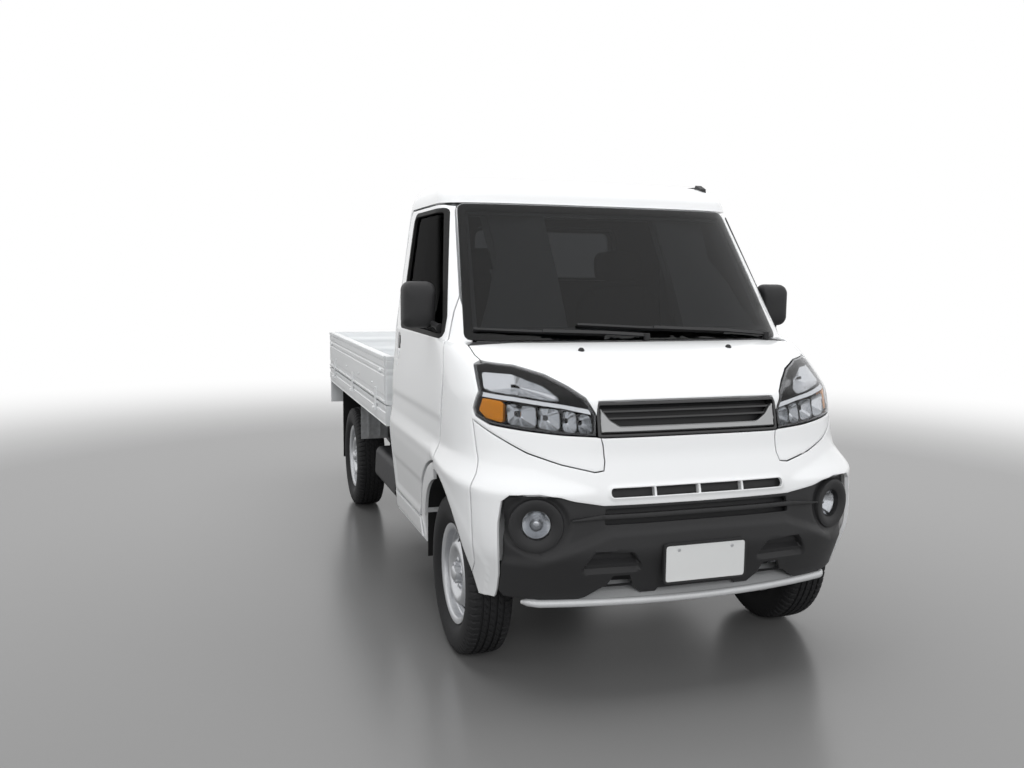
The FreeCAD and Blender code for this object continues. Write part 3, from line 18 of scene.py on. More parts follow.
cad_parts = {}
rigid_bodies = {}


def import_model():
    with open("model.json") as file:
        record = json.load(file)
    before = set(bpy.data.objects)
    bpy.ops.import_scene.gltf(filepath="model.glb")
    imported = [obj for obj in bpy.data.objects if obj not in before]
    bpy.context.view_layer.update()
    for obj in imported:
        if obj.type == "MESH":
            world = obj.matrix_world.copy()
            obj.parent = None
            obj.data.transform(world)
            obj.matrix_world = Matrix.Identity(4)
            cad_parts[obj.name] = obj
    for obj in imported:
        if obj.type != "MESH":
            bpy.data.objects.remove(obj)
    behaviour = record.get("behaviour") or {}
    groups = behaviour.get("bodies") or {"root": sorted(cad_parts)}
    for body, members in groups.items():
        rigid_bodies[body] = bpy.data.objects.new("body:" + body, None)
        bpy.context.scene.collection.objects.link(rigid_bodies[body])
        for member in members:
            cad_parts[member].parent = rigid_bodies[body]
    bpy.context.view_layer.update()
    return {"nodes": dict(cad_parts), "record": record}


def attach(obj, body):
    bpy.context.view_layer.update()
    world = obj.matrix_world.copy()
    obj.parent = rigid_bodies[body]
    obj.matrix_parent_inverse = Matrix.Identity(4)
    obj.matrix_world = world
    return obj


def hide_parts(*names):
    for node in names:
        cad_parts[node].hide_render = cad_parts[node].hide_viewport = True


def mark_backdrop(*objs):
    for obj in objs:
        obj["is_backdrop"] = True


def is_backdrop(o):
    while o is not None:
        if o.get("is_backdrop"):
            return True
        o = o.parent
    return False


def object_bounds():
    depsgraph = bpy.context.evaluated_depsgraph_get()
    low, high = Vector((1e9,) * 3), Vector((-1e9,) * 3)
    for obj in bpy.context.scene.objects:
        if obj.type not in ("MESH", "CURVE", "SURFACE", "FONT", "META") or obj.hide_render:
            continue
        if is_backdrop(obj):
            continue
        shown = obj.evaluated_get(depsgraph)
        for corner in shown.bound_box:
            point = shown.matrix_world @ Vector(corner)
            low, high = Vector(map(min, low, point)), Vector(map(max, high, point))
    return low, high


for item in list(bpy.data.objects):
    bpy.data.objects.remove(item)
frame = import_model()
nodes = frame["nodes"]

# %% [markdown]
# ## Finishes
#
# Every finish is procedural. Object coordinates give the grain its place, so it stays put when
# a door swings. Values that are the same all over sit on the shader's own sockets.

# %% Materials from a few plain words
COAT_ROUGHNESS, BUMP_STRENGTH, NOISE_DETAIL = 0.03, 0.3, 3
DARK_AT, LIGHT_AT = 0.3, 0.7


def add(tree, kind, **values):
    """A new shader node of a kind, with its named sockets set."""
    made = tree.nodes.new("ShaderNode" + kind)
    for socket, value in values.items():
        made.inputs[socket].default_value = value
    return made


def join(tree, *links):
    """Links between nodes, each written as (node, output, node, input)."""
    for source, output, target, socket in links:
        tree.links.new(source.outputs[output], target.inputs[socket])


def finish(name, color, rough, metal=0.0, coat=0.0, shine=0.5):
    """One Principled material with constant sockets; returns the material, its shader and tree."""
    made = bpy.data.materials.new(name)
    made.use_nodes = True
    shader = made.node_tree.nodes["Principled BSDF"]
    sockets = {"Base Color": (*color, 1), "Roughness": rough, "Metallic": metal, "Coat Weight": coat,
               "Coat Roughness": COAT_ROUGHNESS, "Specular IOR Level": shine}
    for socket, value in sockets.items():
        shader.inputs[socket].default_value = value
    return made, shader, made.node_tree


def surface(name, color, rough, metal, coat, size, depth, spread, shine=0.5):
    """A finish with a grain: noise on Object coordinates drives a bump, whose cell size and depth
    are in metres. The same noise shifts the base colour by the spread, between two close tones."""
    made, shader, tree = finish(name, color, rough, metal, coat, shine)
    place, ramp = add(tree, "TexCoord"), add(tree, "ValToRGB")
    noise = add(tree, "TexNoise", Scale=1 / size, Detail=NOISE_DETAIL)
    bump = add(tree, "Bump", Strength=BUMP_STRENGTH, Distance=depth)
    for element, position, way in zip(ramp.color_ramp.elements, (DARK_AT, LIGHT_AT), (-1, 1)):
        element.position = position
        element.color = (*[min(part * (1 + way * spread), 1) for part in color], 1)
    join(tree, (place, "Object", noise, "Vector"), (noise, "Fac", bump, "Height"),
         (bump, "Normal", shader, "Normal"), (noise, "Fac", ramp, "Fac"),
         (ramp, "Color", shader, "Base Color"))
    return made


def glass(name, color, bend):
    """Clear or tinted glass. A coated window mirrors less than its real index would: bend is lower."""
    made, shader, _ = finish(name, color, 0.0)
    shader.inputs["Transmission Weight"].default_value = 1.0
    shader.inputs["IOR"].default_value = bend
    return made


# In each row: colour, roughness, metal, coat, the grain's cell size and depth, spread of tone, shine
paint = surface("white_paint", (0.80, 0.81, 0.82), 0.28, 0, 1, 0.9, 0.0002, 0.012)
bed_paint = surface("bed_paint", (0.74, 0.755, 0.765), 0.36, 0, 0.4, 0.5, 0.0003, 0.02)
black_plastic = surface("black_plastic", (0.024, 0.024, 0.025), 0.5, 0, 0, 0.0012, 0.0004, 0.25, 0.35)
gloss_black = surface("gloss_black", (0.012, 0.012, 0.013), 0.12, 0, 0.6, 0.2, 0.0001, 0.1)
dash_plastic = surface("dash_plastic", (0.04, 0.04, 0.043), 0.6, 0, 0, 0.002, 0.0005, 0.2, 0.25)
underbody = surface("underbody_black", (0.016, 0.016, 0.018), 0.5, 0, 0, 0.02, 0.001, 0.3, 0.3)
bright_steel = surface("bright_steel", (0.62, 0.63, 0.65), 0.3, 1, 0, 0.004, 0.0001, 0.05)
zinc = surface("galvanised_steel", (0.5, 0.51, 0.52), 0.45, 0.7, 0, 0.02, 0.0004, 0.12)
chrome = surface("satin_chrome", (0.72, 0.73, 0.75), 0.16, 1, 0, 0.3, 0.0001, 0.02)
wheel_silver = surface("wheel_silver", (0.62, 0.63, 0.65), 0.32, 0.75, 0, 0.01, 0.0001, 0.04)
tyre_rubber = surface("tyre_rubber", (0.018, 0.018, 0.019), 0.65, 0, 0, 0.004, 0.0004, 0.25, 0.25)
soft_rubber = surface("soft_rubber", (0.014, 0.014, 0.014), 0.6, 0, 0, 0.003, 0.0003, 0.2, 0.2)
cast_metal = surface("cast_metal", (0.17, 0.17, 0.18), 0.5, 0.8, 0, 0.006, 0.001, 0.2)
spring_steel = surface("spring_steel", (0.05, 0.05, 0.053), 0.45, 0.6, 0, 0.01, 0.0005, 0.2)
pipe_steel = surface("pipe_steel", (0.32, 0.3, 0.28), 0.42, 0.9, 0, 0.02, 0.0004, 0.15)
alloy = surface("radiator_alloy", (0.35, 0.36, 0.37), 0.4, 0.9, 0, 0.005, 0.0004, 0.1)
reflector = surface("lamp_reflector", (0.60, 0.61, 0.62), 0.14, 1, 0, 0.1, 0.0001, 0.02)
red_lens = surface("red_lens", (0.42, 0.01, 0.012), 0.12, 0, 0.8, 0.01, 0.0002, 0.1)
amber_lens = surface("amber_lens", (0.80, 0.27, 0.002), 0.3, 0, 0, 0.008, 0.0003, 0.15, 0.15)
silver_paint = surface("silver_paint", (0.60, 0.61, 0.62), 0.32, 0.25, 0, 0.004, 0.0001, 0.04)
satin_trim = surface("satin_trim", (0.40, 0.405, 0.41), 0.28, 0.9, 0, 0.3, 0.0001, 0.02)
plate_paint = surface("plate_paint", (0.7, 0.71, 0.71), 0.4, 0, 0, 0.1, 0.0001, 0.01)
seat_cloth = surface("seat_cloth", (0.05, 0.051, 0.055), 0.9, 0, 0, 0.0018, 0.0004, 0.1)
lamp_glass = glass("lamp_glass", (0.97, 0.98, 1.0), 1.22)
screen_glass = glass("screen_glass", (0.13, 0.135, 0.14), 1.36)
door_glass = glass("door_glass", (0.03, 0.032, 0.034), 1.02)
print("materials:", len(bpy.data.materials))

# %% [markdown]
# ## Dress what the frame already shapes well
#
# Beams, axles, springs, tank and pipes keep their CAD shape and only need a finish.

# %% One finish for each slot of the record
SLOT_FINISH = {
    "paint_white": paint, "bed_paint": bed_paint, "chassis_black": underbody, "trim_black": black_plastic,
    "grille_black": gloss_black, "dash_grey": dash_plastic, "plate_white": plate_paint,
    "bright_steel": bright_steel, "radiator_alloy": alloy, "spring_steel": spring_steel,
    "exhaust_steel": pipe_steel, "engine_cast": cast_metal, "wheel_silver": wheel_silver,
    "tyre_black": tyre_rubber, "rubber_black": soft_rubber, "seat_cloth": seat_cloth,
    "lamp_housing": reflector, "lamp_clear": lamp_glass, "lamp_red": red_lens,
    "glass_screen": screen_glass, "glass_side": door_glass,
}
for row in frame["record"]["subparts"]:
    item = nodes[row["node"]]
    item.data.materials.clear()
    item.data.materials.append(SLOT_FINISH[row["material_slot"]])
nodes["wheel_guards"].data.materials[0] = zinc

# %% [markdown]
# ## The cab's one surface
#
# Seen from above, the cab at any height is a bowed front, straight sides and round rear
# corners. The bow is a superellipse: a circle whose power is 3.5 instead of 2, which keeps the
# nose broad and its corners tight. Going up, the bow's reach and width change along the nose,
# the bonnet, the windscreen and the roof's edge. A point is named by two lengths: how far
# round it lies from the front's middle, and how far up the front's centre line.

# %% How the outline changes with height
AXLE, WHEEL_LEVEL = 1.245, 0.298
POWER, BOW, CORNER = 3.5, 1.15, 0.09
NOSE_V, COWL_V, BROW_V, ROOF_ARC = 0.99, 1.45, 2.106, 0.16
WALL_BACK, ROOF_TURN, ROOF_CURL, ROOF_RISE = -0.992, math.radians(76), 0.11, 0.097
NOSE_RINGS = ((0.28, 0.500, 0.555, 0.733), (0.30, 0.505, 0.56, 0.735), (0.50, 0.577, 0.60, 0.752),
              (0.70, 0.548, 0.60, 0.772), (0.81, 0.497, 0.60, 0.765))
BONNET_RINGS, ROOF_RINGS, TABLE_SIZE = 13, 9, 1200
TINY = 1e-12


def stations():
    """Columns of (v, level, reach, start, half, back): the nose in straight runs, the bonnet as a
    parabola whose reach falls evenly, the windscreen straight, and the roof's edge as a turn."""
    level, reach, depth, half = np.array(NOSE_RINGS).T
    nose = [level, level, reach, reach - depth, half, np.full(len(level), WALL_BACK)]
    at = np.linspace(0, 1, BONNET_RINGS)
    rise = 1 - (1 - at) ** 2
    bonnet = [NOSE_V + (COWL_V - NOSE_V) * at, 0.99 + 0.175 * rise, 0.03 + 0.43 * (1 - at),
              -0.14 - 0.08 * rise, 0.756 - 0.011 * rise, WALL_BACK - 0.0036 * rise]
    at = np.linspace(0, 1, ROOF_RINGS)
    curl = ROOF_CURL * (1 - np.cos(ROOF_TURN * at))
    roof = [BROW_V + ROOF_ARC * at, 1.70 + ROOF_RISE * np.sin(ROOF_TURN * at) / math.sin(ROOF_TURN),
            -0.35 - curl, -0.54 - curl, 0.66 - curl, -1.042 + 0.6 * curl]
    return np.concatenate([nose, bonnet, roof], 1)


STATIONS = stations()
ROUNDING = np.linspace(-0.018, 0.018, 7)


def outline_at(v):
    """Level, reach, start, half and back at a height v: each is the mean of the straight-line
    value over a short window, which rounds every crease."""
    near = np.asarray(v, float)[..., None] + ROUNDING
    return [np.interp(near, STATIONS[0], row).mean(-1) for row in STATIONS[1:]]


V_TABLE = np.linspace(STATIONS[0, 0], BROW_V + ROOF_ARC, TABLE_SIZE)
LEVEL_TABLE = np.maximum.accumulate(outline_at(V_TABLE)[0] + np.arange(TABLE_SIZE) * 1e-9)


def v_of_level(level):
    """The height coordinate of a level."""
    return np.interp(level, LEVEL_TABLE, V_TABLE)


def bare_form(a, v):
    """The point at a round and v up. Up to BOW the point follows the superellipse
    (x/depth)^3.5 + (y/half)^3.5 = 1 by its polar angle, then the straight side, then a quarter
    circle, then the rear wall."""
    level, reach, start, half, back = outline_at(v)
    side = np.where(np.asarray(a) < 0, -1, 1)
    past = np.abs(a) - BOW
    turn = np.clip(past / BOW + 1, 0, 1) * math.pi / 2
    ahead, aside = np.cos(turn), np.sin(turn)
    radius = (np.abs(ahead / (reach - start)) ** POWER + (aside / half) ** POWER) ** (-1 / POWER)
    run = start - (back + CORNER)
    angle = np.clip((past - run) / CORNER, 0, math.pi / 2)
    rest = past - run - CORNER * math.pi / 2
    x = np.where(past > 0, start - past, start + radius * ahead)
    y = np.where(past > 0, half, radius * aside)
    x = np.where(past > run, back + CORNER - CORNER * np.sin(angle), x)
    y = np.where(past > run, half - CORNER + CORNER * np.cos(angle), y)
    y = np.where(rest > 0, half - CORNER - rest, y)
    return np.stack([AXLE + x, side * y, level], -1)


print("cab from", outline_at(0.5)[1], "to", outline_at(1.2)[4], "m about the front axle")

# %% [markdown]
# A fender is wider over its wheel, and that swelling runs forward as a wing to the bumper's
# corner and back along the door as a soft crease. It is one more function, added outwards.

# %% The wing and the crease
WING_A = (0.405, 0.47, 0.60, 0.76, 0.87, 1.10, 1.20, 2.2, 3.5)
WING_TOP = (0.712, 0.735, 0.776, 0.786, 0.788, 0.797, 0.800, 0.800, 0.800)
WING_LOW = (0.700, 0.697, 0.690, 0.700, 0.715, 0.735, 0.745, 0.745, 0.745)
WING_OUT = (0.0, 0.018, 0.033, 0.036, 0.033, 0.020, 0.013, 0.007, 0.0)
WING_KEEP = (1.0, 1.0, 1.0, 0.96, 0.9, 0.8, 0.7, 0.7, 0.7)
RISE_POWER, CREASE_FADE, FOOT_LEVEL, FOOT_FADE = 1.3, 0.04, 0.33, 0.25
LIP_OUT, LIP_REACH, LIP_FADE, LIP_SIDE = 0.0025, 0.425, 0.03, 0.68


def ease(t):
    """A smooth step from 0 to 1: 3t^2 - 2t^3."""
    t = np.clip(t, 0, 1)
    return t * t * (3 - 2 * t)


def swell(a, points):
    """How far the wing, the crease and the arch's lip stand out, by place round and level."""
    level = points[..., 2]
    rows = (WING_TOP, WING_LOW, WING_OUT, WING_KEEP)
    top, low, out, keep = (np.interp(np.abs(a), WING_A, row) for row in rows)
    rise = np.clip((top - level) / (top - low), 0, 1) ** RISE_POWER
    fall = 1 - (1 - keep) * ease((low - level) / CREASE_FADE)
    from_hub = np.hypot(points[..., 0] - AXLE, level - WHEEL_LEVEL)
    lip = LIP_OUT * ease((LIP_REACH - from_hub) / LIP_FADE) * (np.abs(points[..., 1]) > LIP_SIDE)
    bottom = ease((level - FOOT_LEVEL) / FOOT_FADE)
    return out * rise * fall * (0.5 + 0.5 * bottom) + lip


def normal_of(place, a, v, step):
    """A surface's unit normal: the cross product of two small steps, one round and one up."""
    normal = np.cross(place(a + step, v) - place(a - step, v), place(a, v + step) - place(a, v - step))
    return normal / (np.linalg.norm(normal, axis=-1, keepdims=True) + TINY)


def dressed(a, v):
    """The bare surface moved out along its normal by the swelling."""
    bare = bare_form(a, v)
    return bare + normal_of(bare_form, a, v, 1e-4) * swell(a, bare)[..., None]


def form(a, v, out=0.0):
    """The dressed surface at (a, v), moved out along its own normal."""
    a, v = np.asarray(a, float), np.asarray(v, float)
    return dressed(a, v) + normal_of(dressed, a, v, 6e-4) * np.asarray(out)[..., None]


# %% From the three plain views to the surface
def round_bow(across, ahead):
    """How far round the bow a point lies, from its polar angle."""
    return np.arctan2(across, ahead) / (math.pi / 2) * BOW


def other_leg(share):
    """The superellipse's other coordinate, as a share: (1 - share^3.5)^(1/3.5)."""
    return (1 - np.clip(share, 0, 0.99999) ** POWER) ** (1 / POWER)


def from_side(x, level):
    """(a, v) of a point seen from the side: x from the front axle, and its level."""
    v = v_of_level(level)
    _, reach, start, half, _ = outline_at(v)
    on_bow = round_bow(half * other_leg((x - start) / (reach - start)), np.maximum(x - start, 0))
    return np.stack([np.where(x > start, on_bow, BOW + start - x), v], -1)


def from_front(y, level):
    """(a, v) of a point seen from the front: y to the left, and its level."""
    v = v_of_level(level)
    _, reach, start, half, _ = outline_at(v)
    ahead = (reach - start) * other_leg(np.abs(y) / half)
    return np.stack([np.sign(y) * round_bow(np.abs(y), ahead), v], -1)


def from_top(x, y):
    """(a, v) of a point on the bonnet seen from above, by halving the range that v lies in."""
    low, high = np.full(np.shape(x), 0.9), np.full(np.shape(x), 2.1)
    for _ in range(30):
        v = (low + high) / 2
        _, reach, start, half, _ = outline_at(v)
        ahead = np.maximum(x - start, 0) / (reach - start)
        beyond = ahead ** POWER + np.abs(y / half) ** POWER > 1
        low, high = np.where(beyond, low, v), np.where(beyond, v, high)
    return np.stack([np.sign(y) * round_bow(np.abs(y), x - start), v], -1)


def spot_on(view, x, y, out):
    """One point on the surface, from its place in a view."""
    return form(*view(np.array([x]), np.array([y])).T, np.array([out]))[0]


# %% [markdown]
# ## Cutting panels out
#
# A panel is an outline in one of the views, filled with a grid of points, triangulated and
# laid on the surface. Its rim turns in by a hair, as pressed steel does, and its inner face
# follows the outer one at the panel's thickness, so the mesh is closed.

# %% Outlines with round corners
def outline(corners, step=0.008):
    """A closed polyline through corners (x, y) or (x, y, radius), divided into short runs."""
    path = []
    for here, corner in enumerate(corners):
        place = np.array(corner[:2], float)
        radius = corner[2] if len(corner) > 2 else 0
        if not radius:
            path.append(place)
            continue
        back = np.array(corners[here - 1][:2], float) - place
        ahead = np.array(corners[(here + 1) % len(corners)][:2], float) - place
        back /= np.linalg.norm(back)
        ahead /= np.linalg.norm(ahead)
        half_turn = math.acos(np.clip(back @ ahead, -1, 1)) / 2
        middle = (back + ahead) / np.linalg.norm(back + ahead) * radius / math.sin(half_turn)
        sweep = math.pi / 2 - half_turn
        bits = max(2, int(math.ceil(2 * sweep * radius / step)))
        toward = -middle / np.linalg.norm(middle)
        across = np.array([-toward[1], toward[0]])
        if across @ back < 0:
            across = -across
        turns = np.linspace(sweep, -sweep, bits + 1)[:, None]
        path.extend(place + middle + radius * (np.cos(turns) * toward + np.sin(turns) * across))
    runs = []
    for start, end in zip(path, path[1:] + path[:1]):
        bits = max(1, int(round(np.linalg.norm(end - start) / step)))
        runs.append(start + (end - start) * np.linspace(0, 1, bits, endpoint=False)[:, None])
    return np.concatenate(runs)


def rounded(corners, radius, step):
    """An outline whose corners all have one radius."""
    return outline([(*corner, radius) for corner in corners], step)


def box(left, right, low, high):
    """The four corners of a rectangle, along its foot and back along its top."""
    return [(left, low), (right, low), (right, high), (left, high)]


def gate(half, low, high):
    """The corners of a rectangle about the middle line, up its left side and down its right one."""
    return [(half, low), (half, high), (-half, high), (-half, low)]


def inside(points, ring):
    """Even-odd rule: a point is inside when a ray from it crosses the ring an odd number of times."""
    x, y = points[:, 0, None], points[:, 1, None]
    x0, y0 = ring[:, 0], ring[:, 1]
    x1, y1 = np.roll(x0, -1), np.roll(y0, -1)
    crosses = (y0 > y) != (y1 > y)
    with np.errstate(divide="ignore", invalid="ignore"):
        at = x0 + (y - y0) * (x1 - x0) / (y1 - y0)
    return (crosses & (x < at)).sum(1) % 2 == 1


def between(points, ring, holes):
    """Which points are inside a ring and outside its holes."""
    keep = inside(points, ring)
    for hole in holes:
        keep &= ~inside(points, hole)
    return keep


def depth_in(points, ring):
    """How deep points lie in a ring: the distance to its nearest run, negative outside."""
    run = np.roll(ring, -1, 0) - ring
    share = np.clip(((points[:, None] - ring) * run).sum(2) / (run * run).sum(1), 0, 1)
    away = np.linalg.norm(points[:, None] - ring - share[..., None] * run, axis=2).min(1)
    return np.where(inside(points, ring), away, -away)


def turned_in(ring, width):
    """The ring moved inwards by a width, or outwards by a negative one, along each mean normal."""
    area = np.sum(ring[:, 0] * np.roll(ring[:, 1], -1) - np.roll(ring[:, 0], -1) * ring[:, 1])
    along = np.roll(ring, -1, 0) - np.roll(ring, 1, 0)
    along /= np.linalg.norm(along, axis=1, keepdims=True) + TINY
    return ring + np.stack([-along[:, 1], along[:, 0]], 1) * width * math.copysign(1, area)


def filled(ring, holes, step, edge):
    """Points and triangles inside a ring and outside its holes, with a second ring inside each rim."""
    second, around = turned_in(ring, edge), [turned_in(hole, -edge) for hole in holes]
    loops = [ring, *holes, second, *around]
    low, high = ring.min(0), ring.max(0)
    grid = np.stack(np.meshgrid(*(np.arange(a + step / 2, b, step) for a, b in zip(low, high))), -1)
    grid = grid.reshape(-1, 2)
    grid = grid[between(grid, second, around)]
    borders = np.concatenate(loops)
    near = np.min(np.linalg.norm(grid[:, None, :] - borders[None, ::2], axis=2), axis=1)
    points = np.concatenate([borders, grid[near > step / 2]])
    edges, first = [], 0
    for loop in loops:
        index = first + np.arange(len(loop))
        edges.extend(zip(index.tolist(), np.roll(index, -1).tolist()))
        first += len(loop)
    placed = delaunay_2d_cdt([Vector(point) for point in points.tolist()], edges, [], 0, 1e-7, True)
    flat, triangles = np.array([tuple(point) for point in placed[0]]), np.array(placed[2])
    triangles = triangles[between(flat[triangles].mean(1), ring, holes)]
    used, triangles = np.unique(triangles, return_inverse=True)
    flat, triangles = flat[used], triangles.reshape(-1, 3)
    one, two = flat[triangles[:, 1]] - flat[triangles[:, 0]], flat[triangles[:, 2]] - flat[triangles[:, 0]]
    turned = one[:, 0] * two[:, 1] - one[:, 1] * two[:, 0] < 0
    triangles[turned] = triangles[turned][:, ::-1]
    return flat, triangles


def rim_edges(triangles):
    """The directed edges that only one triangle has, as pairs of point numbers."""
    pairs = np.concatenate([triangles[:, [0, 1]], triangles[:, [1, 2]], triangles[:, [2, 0]]])
    size = triangles.max() + 1
    return pairs[~np.isin(pairs @ (size, 1), pairs @ (1, size))]


# %% Meshes into the scene
def volume(points, faces):
    """The signed volume inside a closed mesh: a sixth of the sum of each face's triple products."""
    total = 0.0
    for last in range(2, faces.shape[1]):
        a, b, c = points[faces[:, 0]], points[faces[:, last - 1]], points[faces[:, last]]
        total += np.einsum("ij,ij->", a, np.cross(b, c)) / 6
    return total


def piece(name, points, faces, material, body, slot=None, replaces=(), sharp=35, fill=None, mirror=False):
    """One finished object at the origin: a closed mesh from arrays, with coincident points welded
    and its faces turned outwards, smooth but for its sharp edges. A star in the name stands for a
    left piece and its mirror image, and a replaced node with no star goes to the right one."""
    if "*" in name:
        for hand, flip in (("left", False), ("right", True)):
            stands_for = [node.replace("*", hand) for node in replaces if flip or "*" in node]
            piece(name.replace("*", hand), points, faces, material, body.replace("*", hand), slot,
                  stands_for, sharp, fill, flip)
        return
    points = np.asarray(points, float).reshape(-1, 3) * ((1, -1, 1) if mirror else (1, 1, 1))
    _, first, place = np.unique(np.round(points, 7), axis=0, return_index=True, return_inverse=True)
    points, faces = points[first], place.ravel()[np.asarray(faces)]
    if volume(points - points.mean(0), faces) < 0:
        faces = faces[:, ::-1]
    corners = [list(dict.fromkeys(face)) for face in faces.tolist()]
    mesh = bpy.data.meshes.new(name)
    mesh.from_pydata(points.tolist(), [], [face for face in corners if len(face) > 2])
    mesh.validate()
    mesh.shade_smooth()
    mesh.set_sharp_from_angle(angle=math.radians(sharp))
    mesh.materials.append(material)
    made = bpy.data.objects.new(name, mesh)
    bpy.context.scene.collection.objects.link(made)
    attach(made, body)
    if replaces:
        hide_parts(*replaces)
    print(name, len(mesh.polygons), "faces")


def closed_shell(outer, inner, triangles):
    """Points and faces of a wall: the outer face, the inner face turned round, and its rims."""
    count = len(outer)
    a, b = rim_edges(triangles).T
    walls = np.concatenate([np.stack([b, a, a + count], 1), np.stack([b, a + count, b + count], 1)])
    return np.concatenate([outer, inner]), np.concatenate([triangles, triangles[:, ::-1] + count, walls])


def grid_faces(rows, columns, around, closed):
    """Quads of a grid of points; around joins the last column to the first, closed the last row."""
    row = np.arange(rows if closed else rows - 1)[:, None]
    column = np.arange(columns if around else columns - 1)[None]
    ahead, beside = (row + 1) % rows * columns, (column + 1) % columns
    here = row * columns
    return np.stack([here + column, here + beside, ahead + beside, ahead + column], -1).reshape(-1, 4)


def wrapped(name, grid, material, body, closed=True, **words):
    """A piece from a grid whose columns close round; closed also joins its last row to its first.
    A row drawn together into one point becomes a pole."""
    piece(name, grid, grid_faces(len(grid), len(grid[0]), True, closed), material, body, **words)


def ribbon(name, sides, material, body, **words):
    """A closed strip from its four long sides, each a row of points, with its two ends filled."""
    rows = np.stack(sides, 1)
    last = 4 * len(rows) - 1
    faces = np.concatenate([grid_faces(len(rows), 4, True, False), [[0, 1, 2, 3], last - np.arange(4)]])
    piece(name, rows, faces, material, body, **words)


def turned_piece(name, profile, middle, axis, material, body, count=64, **words):
    """One turned ring or disc: a closed profile of (radius, height) carried round an axis."""
    axis = np.array(axis, float) / np.linalg.norm(axis)
    across = np.cross(axis, (0, 0, 1.0) if abs(axis[2]) < 0.9 else (1.0, 0, 0))
    across /= np.linalg.norm(across)
    turn = np.linspace(0, 2 * math.pi, count, endpoint=False)[:, None]
    way = np.cos(turn) * across + np.sin(turn) * np.cross(axis, across)
    radius, height = np.array(profile, float).T[..., None, None]
    wrapped(name, np.array(middle) + radius * way + height * axis, material, body, **words)


def panel(name, ring, material, body, view=None, holes=(), top=0.0, thick=0.012, step=0.014,
          edge=0.003, drop=0.0012, shape=None, behind=0.0, **words):
    """A panel of the cab: outline and holes in a view, laid on the surface at height top. The
    share called behind of the wing's swelling is taken back."""
    flat, triangles = filled(ring, holes, step, edge)
    a, v = (view(flat[:, 0], flat[:, 1]) if view else flat).T
    bare = bare_form(a, v)
    outwards = top - behind * swell(a, bare)
    outwards[np.unique(rim_edges(triangles))] -= drop
    if shape:
        outwards += shape(bare)
    shell = closed_shell(form(a, v, outwards), form(a, v, outwards - thick), triangles)
    piece(name, *shell, material, body, **words)


# %% [markdown]
# ## Bonnet, fenders and bumper
#
# A shut line is one list of corners that the panels on both sides share. Each panel then keeps
# back by half of the gap. Corners are written in the view that shows them best.

# %% Shut lines
def side(*corners):
    """Corners (x, level) of the side view on the surface, on the left."""
    return from_side(*np.array(corners, float).T).tolist()


def front(*corners):
    """Corners (y, level) of the front view on the surface."""
    return from_front(*np.array(corners, float).T).tolist()


def top(*corners):
    """Corners (x, y) of the view from above on the bonnet."""
    return from_top(*np.array(corners, float).T).tolist()


def arch(start, end, radius, count=26):
    """Corners round the front wheel's arch, from one angle to another, in degrees from ahead."""
    turn = np.radians(np.linspace(start, end, count))
    return side(*zip(radius * np.cos(turn), WHEEL_LEVEL + radius * np.sin(turn)))


def both_ways(half_ring):
    """A whole outline from its left half, which runs from one end on the middle line to the other."""
    return [*half_ring, *[(-a, v) for a, v in half_ring[1:-1][::-1]]]


def kept_back(corners, gap=0.0022, step=0.012):
    """An outline in (round, up) divided into short runs, and kept back from its shut lines."""
    return turned_in(outline(corners, step), gap)


def lozenge(corners, view, radius, step=0.006):
    """A small closed outline with round corners, written in a view."""
    return view(*rounded(corners, radius, step).T)


DOOR_FRONT = side((-0.030, 0.72), (-0.017, 0.80), (-0.015, 0.87), (-0.018, 0.96),
                  (-0.023, 1.036), (-0.048, 1.105), (-0.086, 1.175), (-0.131, 1.27))
PILLAR = front((0.664, 1.308), (0.653, 1.328), (0.638, 1.45), (0.619, 1.60), (0.611, 1.66), (0.603, 1.681))
LAMP_TOP = top((0.169, 0.648), (0.232, 0.567), (0.308, 0.481), (0.377, 0.419), (0.429, 0.376),
               (0.4585, 0.346))
BONNET_SIDE = top((0.040, 0.672), (0.110, 0.671), (0.150, 0.661))
LAMP_OUTER = [*top((0.147, 0.684)), *front((0.694, 1.012), (0.713, 0.955), (0.709, 0.930))]
LAMP_LOWER = front((0.676, 0.908), (0.611, 0.899), (0.465, 0.883), (0.352, 0.876))
SEAM_UPPER = front((0.716, 0.917), (0.651, 0.866), (0.577, 0.823), (0.477, 0.789), (0.369, 0.764))
SEAM_TONGUE = front((0.338, 0.768), (0.330, 0.796), (0.331, 0.848), (0.336, 0.872))
SEAM_REAR = side((0.300, 0.79), (0.324, 0.74), (0.331, 0.69), (0.335, 0.62), (0.336, 0.50), (0.325, 0.445),
                 (0.2945, 0.402))
ARCH_EDGE = side((-0.042, 0.692), (0.015, 0.694), (0.070, 0.687), (0.120, 0.668), (0.165, 0.637),
                 (0.207, 0.596), (0.243, 0.545), (0.268, 0.490), (0.285, 0.435))
ARCH_FOOT = side((0.299, 0.355), (0.303, 0.326))
BLACK_EDGE = front((0.655, 0.36), (0.655, 0.42), (0.660, 0.60), (0.652, 0.672), (0.632, 0.690),
                   (0.553, 0.695), (0.492, 0.686), (0.449, 0.675), (0.352, 0.657), (0.0, 0.655))

# %% The bonnet, the fenders and the white bumper
bonnet_ring = both_ways([*front((0.0, 0.993), (0.20, 0.993), (0.334, 0.991)), *LAMP_TOP[::-1],
                         *BONNET_SIDE[::-1], *top((0.055, 0.5), (0.072, 0.3), (0.078, 0.0))])
panel("bonnet_skin", kept_back(bonnet_ring), paint, "bonnet", slot="paint_white", replaces=("bonnet",))

